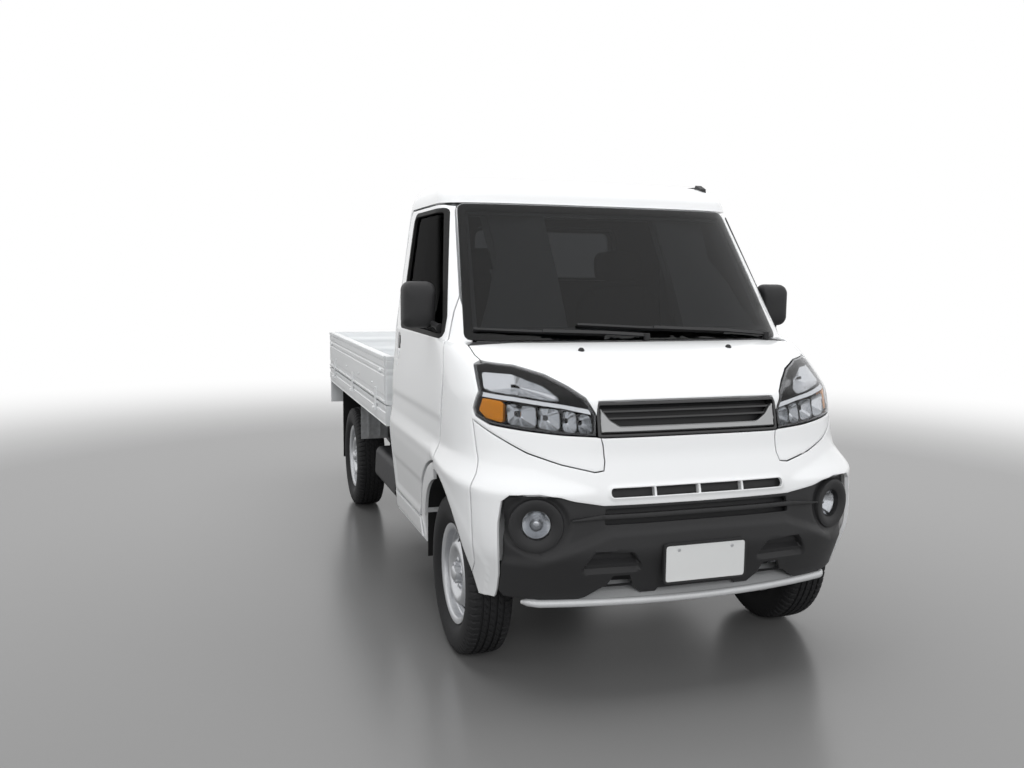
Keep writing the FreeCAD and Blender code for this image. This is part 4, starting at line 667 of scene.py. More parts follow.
fender_ring = [*PILLAR[:2][::-1], *DOOR_FRONT[::-1], *ARCH_EDGE, *SEAM_REAR[::-1], *SEAM_UPPER,
               *SEAM_TONGUE, *LAMP_LOWER[::-1], *LAMP_OUTER[::-1], *BONNET_SIDE[::-1],
               *front((0.6715, 1.160))]
panel("fender_skin_*", kept_back(fender_ring), paint, "chassis", thick=0.010, step=0.010,
      slot="paint_white", replaces=("fender_*",))

SLOT_HALF, SLOT_RIM, SLOT_RIM_FADE, BUMPER_STEP = 0.325, 0.006, 0.014, 0.0065
slot_ring = rounded(box(-SLOT_HALF, SLOT_HALF, 0.684, 0.713), 0.012, 0.006)


def bumper_relief(bare):
    """A raised rim round the slot."""
    return SLOT_RIM * ease(1 + depth_in(bare[:, 1:3], slot_ring) / SLOT_RIM_FADE)


bumper_ring = both_ways([*front((0.0, 0.872)), *SEAM_TONGUE[::-1], *SEAM_UPPER[::-1], *SEAM_REAR, *ARCH_FOOT,
                         *front((0.658, 0.330)), *BLACK_EDGE])
panel("bumper_skin", kept_back(bumper_ring), paint, "chassis", holes=(from_front(*slot_ring.T),),
      step=BUMPER_STEP, shape=bumper_relief, slot="paint_white", replaces=("front_bumper",))
for across in (-0.165, 0.0, 0.165):
    ring = lozenge(box(across - 0.004, across + 0.004, 0.680, 0.717), from_front, 0.001, 0.01)
    panel("slot_divider", ring, paint, "chassis", top=-0.002, thick=0.02, step=0.01, edge=0.001)
backing = lozenge(gate(0.34, 0.67, 0.725), from_front, 0.012, 0.02)
panel("slot_backing", backing, black_plastic, "chassis", top=-0.022, thick=0.004, step=0.03)

# %% [markdown]
# The black lower bumper bulges below a line that rises from the corners to the middle. Two
# trapezoid pockets, a wide vent and the round fog lamps' places are pressed into it. Each is a
# function of the distance to its outline, so its flanks slope evenly.

# %% The black lower bumper
VENT = ((0.350, 0.596), (0.345, 0.648), (-0.345, 0.648), (-0.350, 0.596))
POCKET = ((0.438, 0.432), (0.390, 0.512), (0.254, 0.508), (0.200, 0.436))
NOTCH = ((0.335, 0.384), (0.315, 0.424), (0.255, 0.424), (0.240, 0.386))
CHIN_Y, CHIN_LEVEL = (0.0, 0.33, 0.45, 0.56, 0.66), (0.585, 0.580, 0.535, 0.485, 0.482)
CHIN_OUT, CHIN_FADE = 0.013, 0.035
POCKET_DEPTH, POCKET_FLANK, SHELF_LEVEL, SHELF_SHARE = 0.034, 0.014, 0.462, 0.45
FOG_Y, FOG_LEVEL, FOG_RING, FOG_DISH, FOG_FADE = 0.565, 0.596, 0.093, 0.010, 0.016
BLACK_BEHIND = 0.72
pocket_ring = rounded(POCKET, 0.018, 0.008)


def black_relief(bare):
    """The chin stands out below its line, and the pockets and the fog lamps' rings are sunk."""
    across, level = np.abs(bare[:, 1]), bare[:, 2]
    chin = CHIN_OUT * ease((np.interp(across, CHIN_Y, CHIN_LEVEL) - level) / CHIN_FADE + 0.3)
    sunk = ease(depth_in(np.stack([across, level], 1), pocket_ring) / POCKET_FLANK)
    shelf = SHELF_SHARE + (1 - SHELF_SHARE) * ease((level - SHELF_LEVEL) / 0.005)
    from_fog = np.hypot(across - FOG_Y, level - FOG_LEVEL)
    dish_down = FOG_DISH * ease((FOG_RING + FOG_FADE - from_fog) / FOG_FADE)
    return chin - POCKET_DEPTH * sunk * shelf - dish_down


def circle(across, level, radius, step=0.008):
    """A round outline in the front view."""
    turn = np.linspace(0, 2 * math.pi, int(2 * math.pi * radius / step), endpoint=False)
    return np.stack([across + radius * np.cos(turn), level + radius * np.sin(turn)], 1)


def with_twin(ring):
    """An outline and its twin on the other side of the middle line."""
    return ring, ring[::-1] * (-1, 1)


black_holes = [from_front(*ring.T) for ring in (
    rounded(VENT, 0.006, 0.008), *with_twin(rounded(NOTCH, 0.004, 0.008)),
    *with_twin(circle(FOG_Y, FOG_LEVEL, FOG_RING - 0.012)))]
LOW_EDGE = front((0.0, 0.362), (0.142, 0.362), (0.150, 0.350), (0.205, 0.350), (0.240, 0.381), (0.345, 0.381),
                 (0.400, 0.346), (0.43, 0.338), (0.640, 0.338))
UNDER_WHITE = [*BLACK_EDGE[:3], *front((0.660, 0.690), (0.632, 0.702), (0.553, 0.706), (0.492, 0.697),
                                       (0.449, 0.683), (0.352, 0.664), (0.0, 0.662))]
panel("lower_bumper", kept_back(both_ways([*LOW_EDGE, *UNDER_WHITE]), 0.003), black_plastic, "chassis",
      holes=black_holes, top=-0.004, step=BUMPER_STEP, shape=black_relief, behind=BLACK_BEHIND,
      slot="trim_black", replaces=("bumper_grille",))
blade = lozenge([(0.50, 0.614), (0.36, 0.630), (-0.36, 0.630), (-0.50, 0.614), (-0.36, 0.616), (0.36, 0.616)],
                from_front, 0.002, 0.012)
panel("vent_blade", blade, black_plastic, "chassis", top=0.009, thick=0.03, step=0.012, edge=0.002)
backing = lozenge([(0.42, 0.39), (0.37, 0.655), (-0.37, 0.655), (-0.42, 0.39)], from_front, 0.01, 0.02)
panel("bumper_backing", backing, black_plastic, "chassis", top=-0.042, thick=0.005, step=0.03)

# %% [markdown]
# A bar is a circle carried along a line: at each place on it, two directions square to the line
# span the circle. The bar shrinks to a point at both ends.

# %% The bright bar and its apron
BAR_HALF, BAR_RADIUS, BAR_COUNT, BAR_SIDES = 0.594, 0.013, 90, 24
BAR_LEVEL, BAR_FRONT, BAR_BOW, BAR_SWEEP = 0.331, 0.562, 0.105, 0.97 * math.pi / 2
APRON_HALF, APRON_COUNT = 0.43, 60
bar_y = BAR_HALF * np.sin(np.linspace(-1, 1, BAR_COUNT) * BAR_SWEEP) / math.sin(BAR_SWEEP)
bar_level = BAR_LEVEL - 0.008 * (bar_y / BAR_HALF) ** 2 - 0.004 * ease((np.abs(bar_y) - 0.55) / 0.045)
bar_x = AXLE + BAR_FRONT - BAR_BOW * (bar_y / BAR_HALF) ** 2 - 0.036 * ease((np.abs(bar_y) - 0.545) / 0.05)
bar_line = np.stack([bar_x, bar_y, bar_level], 1)
bar_way = np.gradient(bar_line, axis=0)
bar_way /= np.linalg.norm(bar_way, axis=1, keepdims=True)
bar_out = np.cross(bar_way, (0, 0, 1.0))
bar_out /= np.linalg.norm(bar_out, axis=1, keepdims=True)
bar_up = np.cross(bar_out, bar_way)
turn = np.linspace(0, 2 * math.pi, BAR_SIDES, endpoint=False)[:, None]
bar_wide = BAR_RADIUS * np.minimum(1, 0.45 + 30 * (BAR_HALF - np.abs(bar_y)))[:, None, None]
bar_grid = bar_line[:, None] + bar_wide * (np.cos(turn) * bar_out[:, None] + np.sin(turn) * bar_up[:, None])
poles = np.broadcast_to(bar_line[[0, -1], None], (2, BAR_SIDES, 3))
wrapped("bumper_bar", np.concatenate([poles[:1], bar_grid, poles[1:]]), silver_paint, "chassis", closed=False,
        slot="bright_steel", replaces=("skid_bar",), sharp=60)
apron_y = np.linspace(-APRON_HALF, APRON_HALF, APRON_COUNT)
apron_x, apron_level = np.interp(apron_y, bar_y, bar_x), np.interp(apron_y, bar_y, bar_level)
apron = [np.stack([apron_x - back, apron_y, apron_level + rise], 1)
         for back, rise in ((0.004, 0.007), (0.100, 0.040), (0.100, 0.037), (0.004, 0.003))]
ribbon("bumper_apron", apron, silver_paint, "chassis")

# %% [markdown]
# ## Lamps and grille
#
# A headlamp is a black tray with a clear cover. In it sit bright dishes. A dish's rim follows a
# closed outline in the front view, and its depth grows with the square of the way in, as a
# parabola's does.

# %% Headlamps
DISH_ROWS, DISH_THICK, STRAP_STEPS = 10, 0.002, 60


def dish(name, ring, sink, depth, pull=0.25):
    """A bright dish: its rim on the ring of (y, level), sunk below the surface, and its bottom
    deeper by depth. Way in s: place = rim + (middle - rim)(1 - s), depth falls with 1 - s^2."""
    rim = form(*from_front(*ring.T).T, np.full(len(ring), -sink))
    middle = rim.mean(0)
    s = np.linspace(1, pull, DISH_ROWS)[:, None, None]
    inner = middle + (rim - middle) * s
    inner[..., 0] = rim[:, 0] * s[..., 0] ** 2 + (middle[0] - depth) * (1 - s[..., 0] ** 2)
    grid = np.concatenate([inner, inner[::-1] - (DISH_THICK, 0, 0)])
    faces = grid_faces(len(grid), len(ring), True, True)
    # The last row joins the two rims, with its faces turned round
    faces[-len(ring):] = faces[-len(ring):, ::-1]
    piece(name, grid, faces, reflector, "chassis", sharp=50)


def strap(name, line, low, high, out, thick, material):
    """A strip along a line of (y, level), from low to high about it, standing out from the surface."""
    line = np.array(line, float)
    reach = np.concatenate([[0], np.cumsum(np.linalg.norm(np.diff(line, axis=0), axis=1))])
    y, level = (np.interp(np.linspace(0, 1, STRAP_STEPS), reach / reach[-1], row) for row in line.T)
    sides = [form(*from_front(y, level + rise).T, np.full(STRAP_STEPS, height)) for rise, height in (
        (low, out), (high, out), (high, out - thick), (low, out - thick))]
    ribbon(name, sides, material, "chassis")


lamp_edge = kept_back([*LAMP_OUTER, *LAMP_LOWER, *LAMP_TOP[::-1]], 0.003, 0.008)
BAND = ((0.700, 1.008), (0.60, 1.000), (0.46, 0.978), (0.365, 0.957))
CELLS = (
    (((0.632, 0.985), (0.632, 0.912), (0.545, 0.902), (0.540, 0.976)), 0.050),
    (((0.536, 0.975), (0.540, 0.902), (0.470, 0.894), (0.466, 0.966)), 0.040),
    (((0.460, 0.965), (0.463, 0.893), (0.415, 0.888), (0.412, 0.957)), 0.035),
    (((0.407, 0.956), (0.410, 0.888), (0.362, 0.884), (0.364, 0.946)), 0.045),
)
UPPER = ((0.672, 1.080), (0.683, 1.022), (0.560, 1.010), (0.430, 0.988), (0.500, 1.045), (0.585, 1.078))
AMBER = ((0.693, 0.995), (0.705, 0.950), (0.690, 0.928), (0.645, 0.916), (0.640, 0.990))
panel("lamp_cover_*", lamp_edge, lamp_glass, "chassis", thick=0.0025, step=0.012, slot="lamp_clear",
      replaces=("headlamp_lens_*",))
panel("lamp_rim_*", lamp_edge, gloss_black, "chassis", holes=(turned_in(lamp_edge, 0.007),), top=-0.003,
      thick=0.075, step=0.012, edge=0.002, replaces=("headlamp_*",))
panel("lamp_tray_*", turned_in(lamp_edge, 0.004), gloss_black, "chassis", top=-0.072, thick=0.004)
strap("lamp_band_*", BAND, -0.008, 0.007, -0.010, 0.05, reflector)
for corners, depth in CELLS:
    dish("lamp_cell_*", rounded(corners, 0.016, 0.006), 0.012, depth)
dish("lamp_chamber_*", rounded(UPPER, 0.012, 0.008), 0.013, 0.04, pull=0.15)
panel("lamp_amber_*", lozenge(AMBER, from_front, 0.008), amber_lens, "chassis", top=-0.011, thick=0.02,
      step=0.008)

# %% Grille
MOUTH_HALF, MOUTH_LOW, MOUTH_HIGH = 0.345, 0.873, 0.988
CHROME = ((0.334, 0.972), (0.334, 0.888), (-0.334, 0.888), (-0.334, 0.972), (-0.300, 0.930), (-0.265, 0.908),
          (0.265, 0.908), (0.300, 0.930))


def mouth(inset):
    """The grille's opening with its edges moved in."""
    corners = gate(MOUTH_HALF - inset, MOUTH_LOW + inset, MOUTH_HIGH - inset)
    return lozenge(corners, from_front, 0.006, 0.012)


panel("grille_rim", mouth(0), gloss_black, "chassis", holes=(mouth(0.009),), top=-0.002, thick=0.05,
      edge=0.002, replaces=("grille",), slot="grille_black")
panel("grille_backing", mouth(0.004), black_plastic, "chassis", top=-0.046, thick=0.004, step=0.03)
for level in (0.958, 0.935):
    strap("grille_bar", ((-0.335, level), (0.335, level)), -0.003, 0.003, -0.012, 0.03, gloss_black)
chrome_ring = outline([(y, level, 0.003 if abs(y) > 0.33 else 0.03) for y, level in CHROME], 0.008)
panel("grille_chrome", from_front(*chrome_ring.T), satin_trim, "chassis", top=-0.002, thick=0.02,
      step=0.008, edge=0.004, drop=0.004)

# %% [markdown]
# ## Round things
#
# A lamp, a wheel and a tyre are all turned: a profile of (radius, height) points carried once
# round an axis.

# %% Fog lamps
FOG_TILT = math.radians(20)
FOG_PROFILES = (
    ("fog_ring_*", black_plastic, 72, ("fog_lamps",), (
        (0.086, -0.030), (0.091, 0.002), (0.088, 0.011), (0.080, 0.014), (0.060, 0.009), (0.050, 0.003),
        (0.047, -0.030), (0.043, -0.034), (0.083, -0.034))),
    ("fog_glass_*", lamp_glass, 48, (), (
        (0, 0.004), (0.02, 0.0025), (0.038, -0.003), (0.046, -0.010), (0.046, -0.013), (0.037, -0.006),
        (0.02, -0.001), (0, 0.0005))),
    ("fog_bowl_*", reflector, 48, (), (
        (0, -0.052), (0.018, -0.049), (0.034, -0.036), (0.0455, -0.014), (0.0465, -0.014), (0.035, -0.038),
        (0.018, -0.051), (0, -0.054))),
    ("fog_bulb_*", chrome, 24, (), (
        (0, -0.024), (0.008, -0.026), (0.010, -0.032), (0.008, -0.050), (0, -0.050))),
)
spot = from_front(np.array([FOG_Y]), np.array([FOG_LEVEL])).T
fog_middle = form(*spot, -FOG_DISH - BLACK_BEHIND * swell(spot[0], bare_form(*spot)))[0]
for name, material, count, replaced, profile in FOG_PROFILES:
    turned_piece(name, profile, fog_middle, (math.cos(FOG_TILT), math.sin(FOG_TILT), 0), material, "chassis",
                 count=count, replaces=replaced)

# %% [markdown]
# ## Doors, glass, roof and rear wall
#
# A door is as thick as the real one: its skin and its inner face are one closed shell with the
# window cut through. The glass sits deeper, behind a black rubber seal. The roof goes on from the
# windscreen's head: the outline turns through an arc and then shrinks to a low crown.

# %% Doors
DOOR_HEAD = side((-0.435, 1.6895), (-0.66, 1.6895), (-0.93, 1.6895), (-0.953, 1.672))
DOOR_REAR = side((-0.949, 1.60), (-0.943, 1.45), (-0.934, 1.28), (-0.930, 1.14), (-0.930, 0.44),
                 (-0.920, 0.422))
ARCH_CUT = 0.422
DOOR_LOW = [*side((-0.66, 0.422), (-0.410, 0.422)), *arch(158, 101, ARCH_CUT, 20)]
WINDOW = ((-0.118, 1.178, 0.010), (-0.148, 1.245, 0.10), (-0.410, 1.664, 0.030), (-0.858, 1.664, 0.040),
          (-0.820, 1.182, 0.035))
window_ring = outline(WINDOW, 0.012)
HANDLE_X, HANDLE_LEVEL, HANDLE_POCKET = -0.838, 1.092, 0.014
HANDLE_REAR, HANDLE_AHEAD = HANDLE_X - 0.021, HANDLE_X + 0.021
HANDLE_LOW, HANDLE_HIGH, CUP_LOW, CUP_HIGH, LOCK_BELOW = 1.032, 1.080, 1.076, 1.138, 0.026
HANDLE_REACH, HANDLE_TALL, HANDLE_FLANK = 0.040, 0.064, 0.35
WAIST_OUT, WAIST_FROM, WAIST_RISE, WAIST_TO, WAIST_FALL = 0.004, 0.865, 0.03, 1.16, 0.25
RECESS_IN, RECESS_LOW, RECESS_HIGH, RECESS_BACK = 0.005, 0.44, 0.60, 0.90
LOCK = ((0, 0.002), (0.009, 0.002), (0.011, 0), (0.011, -0.006), (0, -0.006))


def window(grow):
    """The side window's outline, made wider by grow."""
    return from_side(*turned_in(window_ring, -grow).T)


def door_relief(bare):
    """A pocket behind the handle, a lower recess, and the waist's long soft crease."""
    x, level = bare[:, 0] - AXLE, bare[:, 2]
    from_handle = np.hypot((x - HANDLE_X) / HANDLE_REACH, (level - HANDLE_LEVEL) / HANDLE_TALL)
    pocket = HANDLE_POCKET * ease((1 - from_handle) / HANDLE_FLANK)
    waist = WAIST_OUT * ease((level - WAIST_FROM) / WAIST_RISE) * ease((WAIST_TO - level) / WAIST_FALL)
    recess = ease((RECESS_HIGH - level) / 0.03) * ease((level - RECESS_LOW) / 0.02)
    return waist - pocket - RECESS_IN * recess * ease((x + RECESS_BACK) / 0.04)


door_ring = kept_back([*DOOR_FRONT, *PILLAR[1:], *DOOR_HEAD, *DOOR_REAR, *DOOR_LOW], 0.0025, 0.014)
panel("door_skin_*", door_ring, paint, "door_*", holes=(window(0.0),), thick=0.036, step=0.010,
      shape=door_relief, slot="paint_white", replaces=("door_*",))
panel("window_seal_*", window(0.010), soft_rubber, "door_*", holes=(window(-0.008),), top=0.002,
      thick=0.022, edge=0.002)
panel("window_pane_*", window(-0.002), door_glass, "door_*", top=-0.010, thick=0.005, step=0.02,
      slot="glass_side", replaces=("door_glass_*",))
handle = lozenge([(HANDLE_REAR, HANDLE_LOW), (HANDLE_REAR, HANDLE_HIGH), (HANDLE_AHEAD, HANDLE_HIGH),
                  (HANDLE_AHEAD, HANDLE_LOW)], from_side, 0.010)
panel("door_handle_*", handle, paint, "door_*", top=0.004, thick=0.016, step=0.005, drop=0.003)
cup = lozenge([(HANDLE_REAR, CUP_LOW), (HANDLE_REAR, CUP_HIGH), (HANDLE_AHEAD, CUP_HIGH),
               (HANDLE_AHEAD, CUP_LOW)], from_side, 0.020)
panel("handle_cup_*", cup, gloss_black, "door_*", top=0.0008, thick=0.016, step=0.006)
turned_piece("door_lock_*", LOCK, spot_on(from_side, HANDLE_X, HANDLE_LOW - LOCK_BELOW, 0.001), (0, 1, 0),
             chrome, "door_*", count=24)

# %% Windscreen, cowl strip and sill
SCREEN = ((0.667, 1.166, 0.02), (0.600, 1.690, 0.03), (-0.600, 1.690, 0.03), (-0.667, 1.166, 0.02))
screen_ring = outline(SCREEN, 0.012)
panel("windscreen", from_front(*screen_ring.T), screen_glass, "chassis", top=0.0026, thick=0.0008, step=0.03,
      slot="glass_screen", replaces=("windshield",))
panel("windscreen_border", from_front(*turned_in(screen_ring, 0.002).T), gloss_black, "chassis",
      holes=(from_front(*turned_in(screen_ring, 0.030).T),), top=0.0014, thick=0.004, edge=0.002)
cowl_ring = both_ways([*front((0.0, 1.1665), (0.640, 1.1665), (0.664, 1.160)),
                       *top((0.030, 0.667), (0.045, 0.62), (0.055, 0.5), (0.067, 0.3), (0.073, 0.0))])
panel("cowl_panel", kept_back(cowl_ring, 0.001), black_plastic, "chassis", top=-0.005,
      replaces=("cowl_strip",))
sill_ring = side((-0.930, 0.415), (-0.930, 0.342), (-0.372, 0.342), (-0.402, 0.415))
panel("sill_skin_*", kept_back(sill_ring, 0.001), paint, "chassis", top=0.0022, thick=0.006)
LIP_OUTER, LIP_INNER = 0.418, 0.352
lip_ring = [*arch(97, 156, LIP_OUTER), *arch(156, 104, LIP_INNER)]
panel("arch_lip_*", kept_back(lip_ring, 0.001, 0.010), paint, "chassis", top=-0.006, step=0.010)

# %% Rear wall
WALL_WIDE, WALL_LOW, WALL_HIGH = 0.82, 0.345, 1.692
PANE_WIDE, PANE_LOW, PANE_HIGH = 0.405, 1.39, 1.627
RIB_LEVELS, RIB_OUT, RIB_TALL, RIB_END, RIB_FADE, WALL_AT = (1.10, 1.24), 0.004, 0.02, 0.62, 0.05, -0.95
DOOR_BACK, BACK_LEAN, LEAN_FROM, LEAN_OVER = 0.9335, 0.026, 1.14, 0.55


def all_round(start, half, back):
    """The length round the cab from the front's middle to the rear wall's middle."""
    return BOW + (start - back - CORNER) + CORNER * math.pi / 2 + half - CORNER


def from_behind(b, level):
    """(a, v) of a point on the rear wall: b runs from one door's rear edge to the other's."""
    v = v_of_level(level)
    _, _, start, half, back = outline_at(v)
    whole = all_round(start, half, back)
    edge = BOW + start + DOOR_BACK + BACK_LEAN * ease((level - LEAN_FROM) / LEAN_OVER)
    share = np.clip(np.abs(b) / WALL_WIDE, 0, 1)
    return np.stack([np.where(b < 0, -1, 1) * (whole - share * (whole - edge)), v], -1)


def wall_relief(bare):
    """Two long pressed ribs across the rear wall."""
    across, level = bare[:, 1], bare[:, 2]
    rib = sum(RIB_OUT * ease(1 - abs(level - middle) / RIB_TALL) for middle in RIB_LEVELS)
    return rib * ease((RIB_END - abs(across)) / RIB_FADE) * (bare[:, 0] < AXLE + WALL_AT)


wall_ring = outline(gate(WALL_WIDE, WALL_LOW, WALL_HIGH), 0.02)
pane_ring = rounded(gate(PANE_WIDE, PANE_LOW, PANE_HIGH), 0.04, 0.02)
panel("cab_back", wall_ring, paint, "chassis", view=from_behind, holes=(pane_ring,), top=0.0022, thick=0.006,
      step=0.02, shape=wall_relief)
panel("rear_seal", turned_in(pane_ring, -0.012), soft_rubber, "chassis", view=from_behind,
      holes=(turned_in(pane_ring, 0.010),), top=0.005, thick=0.02, step=0.02)
panel("rear_pane", turned_in(pane_ring, 0.003), screen_glass, "chassis", view=from_behind, top=-0.008,
      thick=0.005, step=0.03, slot="glass_screen", replaces=("rear_window",))
panel("rear_lining", turned_in(wall_ring, 0.02), dash_plastic, "chassis", view=from_behind,
      holes=(turned_in(pane_ring, -0.01),), top=-0.060, thick=0.003, step=0.03)

# %% Roof and its lining
LINING = ((-0.46, -0.50, 0.08), (-0.46, 0.50, 0.08), (-0.94, 0.54, 0.05), (-0.94, -0.54, 0.05))
LINING_LEVEL, LINING_THICK = 1.7, 0.004
ROOF_LOW, ROOF_CROWN, ROOF_SKIN, ROOF_OUT = 1.6955, 0.010, 0.024, 0.001
ROOF_AROUND, ROOF_EDGE_ROWS, ROOF_TOP_ROWS = 260, 12, 16
flat, triangles = filled(outline(LINING, 0.03), [], 0.05, 0.004)
lining = np.insert(flat + (AXLE, 0), 2, LINING_LEVEL, axis=1)
piece("roof_lining", *closed_shell(lining + (0, 0, LINING_THICK), lining, triangles), dash_plastic, "chassis")

rows_up = np.linspace(v_of_level(ROOF_LOW), BROW_V + ROOF_ARC, ROOF_EDGE_ROWS)[:, None]
share = np.linspace(-1, 1, ROOF_AROUND, endpoint=False)[None]
around = share * all_round(*outline_at(rows_up)[2:])
edge_rows = form(around, np.broadcast_to(rows_up, around.shape), np.full(around.shape, ROOF_OUT))
centre = edge_rows[-1].mean(0)
inwards = np.linspace(1, 0, ROOF_TOP_ROWS)[1:, None, None]
top_rows = centre + (edge_rows[-1] - centre) * inwards
top_rows[..., 2] += ROOF_CROWN * (1 - inwards[..., 0] ** 2)
roof_outer = np.concatenate([edge_rows, top_rows])
roof_inner = centre + (roof_outer - centre) * (1 - ROOF_SKIN / 0.7, 1 - ROOF_SKIN / 0.6, 1)
roof_inner[..., 2] = np.maximum(roof_outer[..., 2] - ROOF_SKIN, ROOF_LOW)
wrapped("roof_skin", np.concatenate([roof_outer, roof_inner[::-1]]), paint, "chassis", slot="paint_white",
        replaces=("cab_roof",))

# %% [markdown]
# ## Wheels and tyres
#
# A steel wheel is a rolled rim with a pressed disc in it: a raised ring, slots in its slope, a
# sunk middle with the nuts, and the hub's cap. The disc is an outline with real holes, filled
# flat, and its height is a function of the radius. The tyre is a turned profile whose radius is
# also cut by the tread: long grooves by the place across, short ones by the angle.

# %% Tyres
TRACK_HALF, REAR = 0.65, -2.39
WHEELS = (("front", AXLE), ("rear", AXLE + REAR))
PITCHES, TURNS, HUBWARD = 66, 8, (0, 1, 0)
TYRE_RADIUS, TREAD_CROWN, TREAD_HALF = 0.298, 0.0035, 0.0582
WALL_RADIUS = (0.1700, 0.1760, 0.1870, 0.1900, 0.2050, 0.2250, 0.2400, 0.2550, 0.2680, 0.2760, 0.2830,
               0.2880, 0.2925)
WALL_OUT = np.array([0.0540, 0.0580, 0.0585, 0.0600, 0.0745, 0.0815, 0.0825, 0.0815, 0.0790, 0.0765,
                     0.0735, 0.0700, 0.0650])
GROOVES, GROOVE_HALF, TREAD_FROM = (-0.038, -0.0137, 0.0137, 0.038), 0.0036, 0.292
across = np.concatenate([np.linspace(TREAD_HALF, 0.0425, 6), (0.0415, 0.0350, 0.0340),
                         np.linspace(0.030, 0.018, 4), (0.0170, 0.0105, 0.0095),
                         np.linspace(0.006, -0.006, 3)])
across = np.concatenate([across, -across[:-3][::-1]])
tread_radius = TYRE_RADIUS - TREAD_CROWN * (np.abs(across) / TREAD_HALF) ** 4
radius = np.concatenate([WALL_RADIUS, tread_radius, WALL_RADIUS[::-1]])[:, None]
out = np.concatenate([WALL_OUT, across, -WALL_OUT[::-1]])[:, None]
turn = np.linspace(0, 2 * math.pi, PITCHES * TURNS, endpoint=False)


def cut(where, lean, share, depth):
    """Short grooves: the pitch's phase, leaned by the place across, is below a share of the pitch."""
    return depth * (where & ((turn * PITCHES / (2 * math.pi) + lean * out) % 1 < share))


groove = 0.0065 * ((np.abs(out - GROOVES) < GROOVE_HALF).any(1)[:, None] & (radius > TREAD_FROM))
shoulder = cut((np.abs(out) > 0.0415) & (radius > 0.274), 6.0, 0.26, 0.0050)
rib = cut((np.abs(out) < 0.0345) & (radius > TREAD_FROM), -34.0, 0.14, 0.0040)
radius = radius - np.maximum(np.maximum(groove, shoulder), rib)
tyre_grid = np.stack([radius * np.cos(turn), np.broadcast_to(out, radius.shape), radius * np.sin(turn)], -1)
for end, along in WHEELS:
    wrapped(f"tyre_tread_{end}_*", tyre_grid + (along, TRACK_HALF, WHEEL_LEVEL), tyre_rubber,
            f"wheel_{end}_*", slot="tyre_black", replaces=(f"tyre_{end}_*",), sharp=28)

# %% Rims, discs, nuts and hubs
DISC_RADIUS = (0.0, 0.034, 0.040, 0.060, 0.074, 0.084, 0.094, 0.102, 0.110, 0.116, 0.138, 0.146, 0.156)
DISC_OUT = (0.036, 0.036, 0.034, 0.034, 0.037, 0.049, 0.0555, 0.057, 0.0555, 0.051, 0.031, 0.027, 0.026)
DISC_EDGE, DISC_THICK, DISC_ROUNDING = 0.1568, 0.004, np.linspace(-0.003, 0.003, 5)
SLOTS, SLOT_AT, SLOT_TALL, SLOT_WIDE = 14, 0.127, 0.0085, 0.0130
RIM = ((0.186, 0.0640), (0.1865, 0.0615), (0.185, 0.0590), (0.173, 0.0575), (0.1665, 0.0540), (0.165, 0.046),
       (0.165, -0.048), (0.173, -0.0575), (0.185, -0.0590), (0.186, -0.0640), (0.172, -0.0630),
       (0.160, -0.052),
       (0.156, -0.020), (0.156, 0.012), (0.1575, 0.030), (0.1610, 0.0330), (0.1615, 0.0480), (0.1640, 0.0570),
       (0.170, 0.0615), (0.180, 0.0635))
CAP = ((0, 0.0715), (0.012, 0.0712), (0.022, 0.0690), (0.0275, 0.0650), (0.0290, 0.0580), (0.0295, 0.0400),
       (0.0330, 0.0360), (0.0330, 0.0300), (0, 0.0300))
NUT = ((0, 0.0560), (0.005, 0.0560), (0.005, 0.0520), (0.0105, 0.0500), (0.0115, 0.0480), (0.0115, 0.0355),
       (0.0150, 0.0345), (0.0150, 0.0320), (0, 0.0320))
NUTS, NUT_AT, NUT_FIRST = 5, 0.050, 0.3


def ray(angle):
    """The unit vector at an angle."""
    return np.stack([np.cos(angle), np.sin(angle)], -1)


oval = np.linspace(0, 2 * math.pi, 18, endpoint=False)[:, None]
ways = 2 * math.pi * (np.arange(SLOTS) + 0.5) / SLOTS
disc_holes = [ray(way) * (SLOT_AT + SLOT_TALL * np.cos(oval))
              + ray(way + math.pi / 2) * SLOT_WIDE * np.sin(oval) for way in ways]
disc_edge = DISC_EDGE * ray(np.linspace(0, 2 * math.pi, 120, endpoint=False))
flat, triangles = filled(disc_edge, disc_holes, 0.006, 0.0015)
disc_out = np.interp(np.linalg.norm(flat, axis=1)[:, None] + DISC_ROUNDING, DISC_RADIUS, DISC_OUT).mean(1)
disc = np.stack([flat[:, 0], disc_out, flat[:, 1]], 1)
for end, along in WHEELS:
    body, hub = f"wheel_{end}_*", np.array([along, TRACK_HALF, WHEEL_LEVEL])
    turned_piece(f"rim_ring_{end}_*", RIM, hub, HUBWARD, wheel_silver, body, count=128, slot="wheel_silver",
                 replaces=(f"rim_{end}_*",))
    piece(f"wheel_disc_{end}_*", *closed_shell(hub + disc, hub + disc - (0, DISC_THICK, 0), triangles),
          wheel_silver, body, sharp=40)
    turned_piece(f"hub_cap_{end}_*", CAP, hub, HUBWARD, wheel_silver, body, count=48)
    for x, z in NUT_AT * ray(2 * math.pi * np.arange(NUTS) / NUTS + NUT_FIRST):
        turned_piece(f"wheel_nut_{end}_*", NUT, hub + (x, 0, z), HUBWARD, bright_steel, body, count=12,
                     sharp=25)

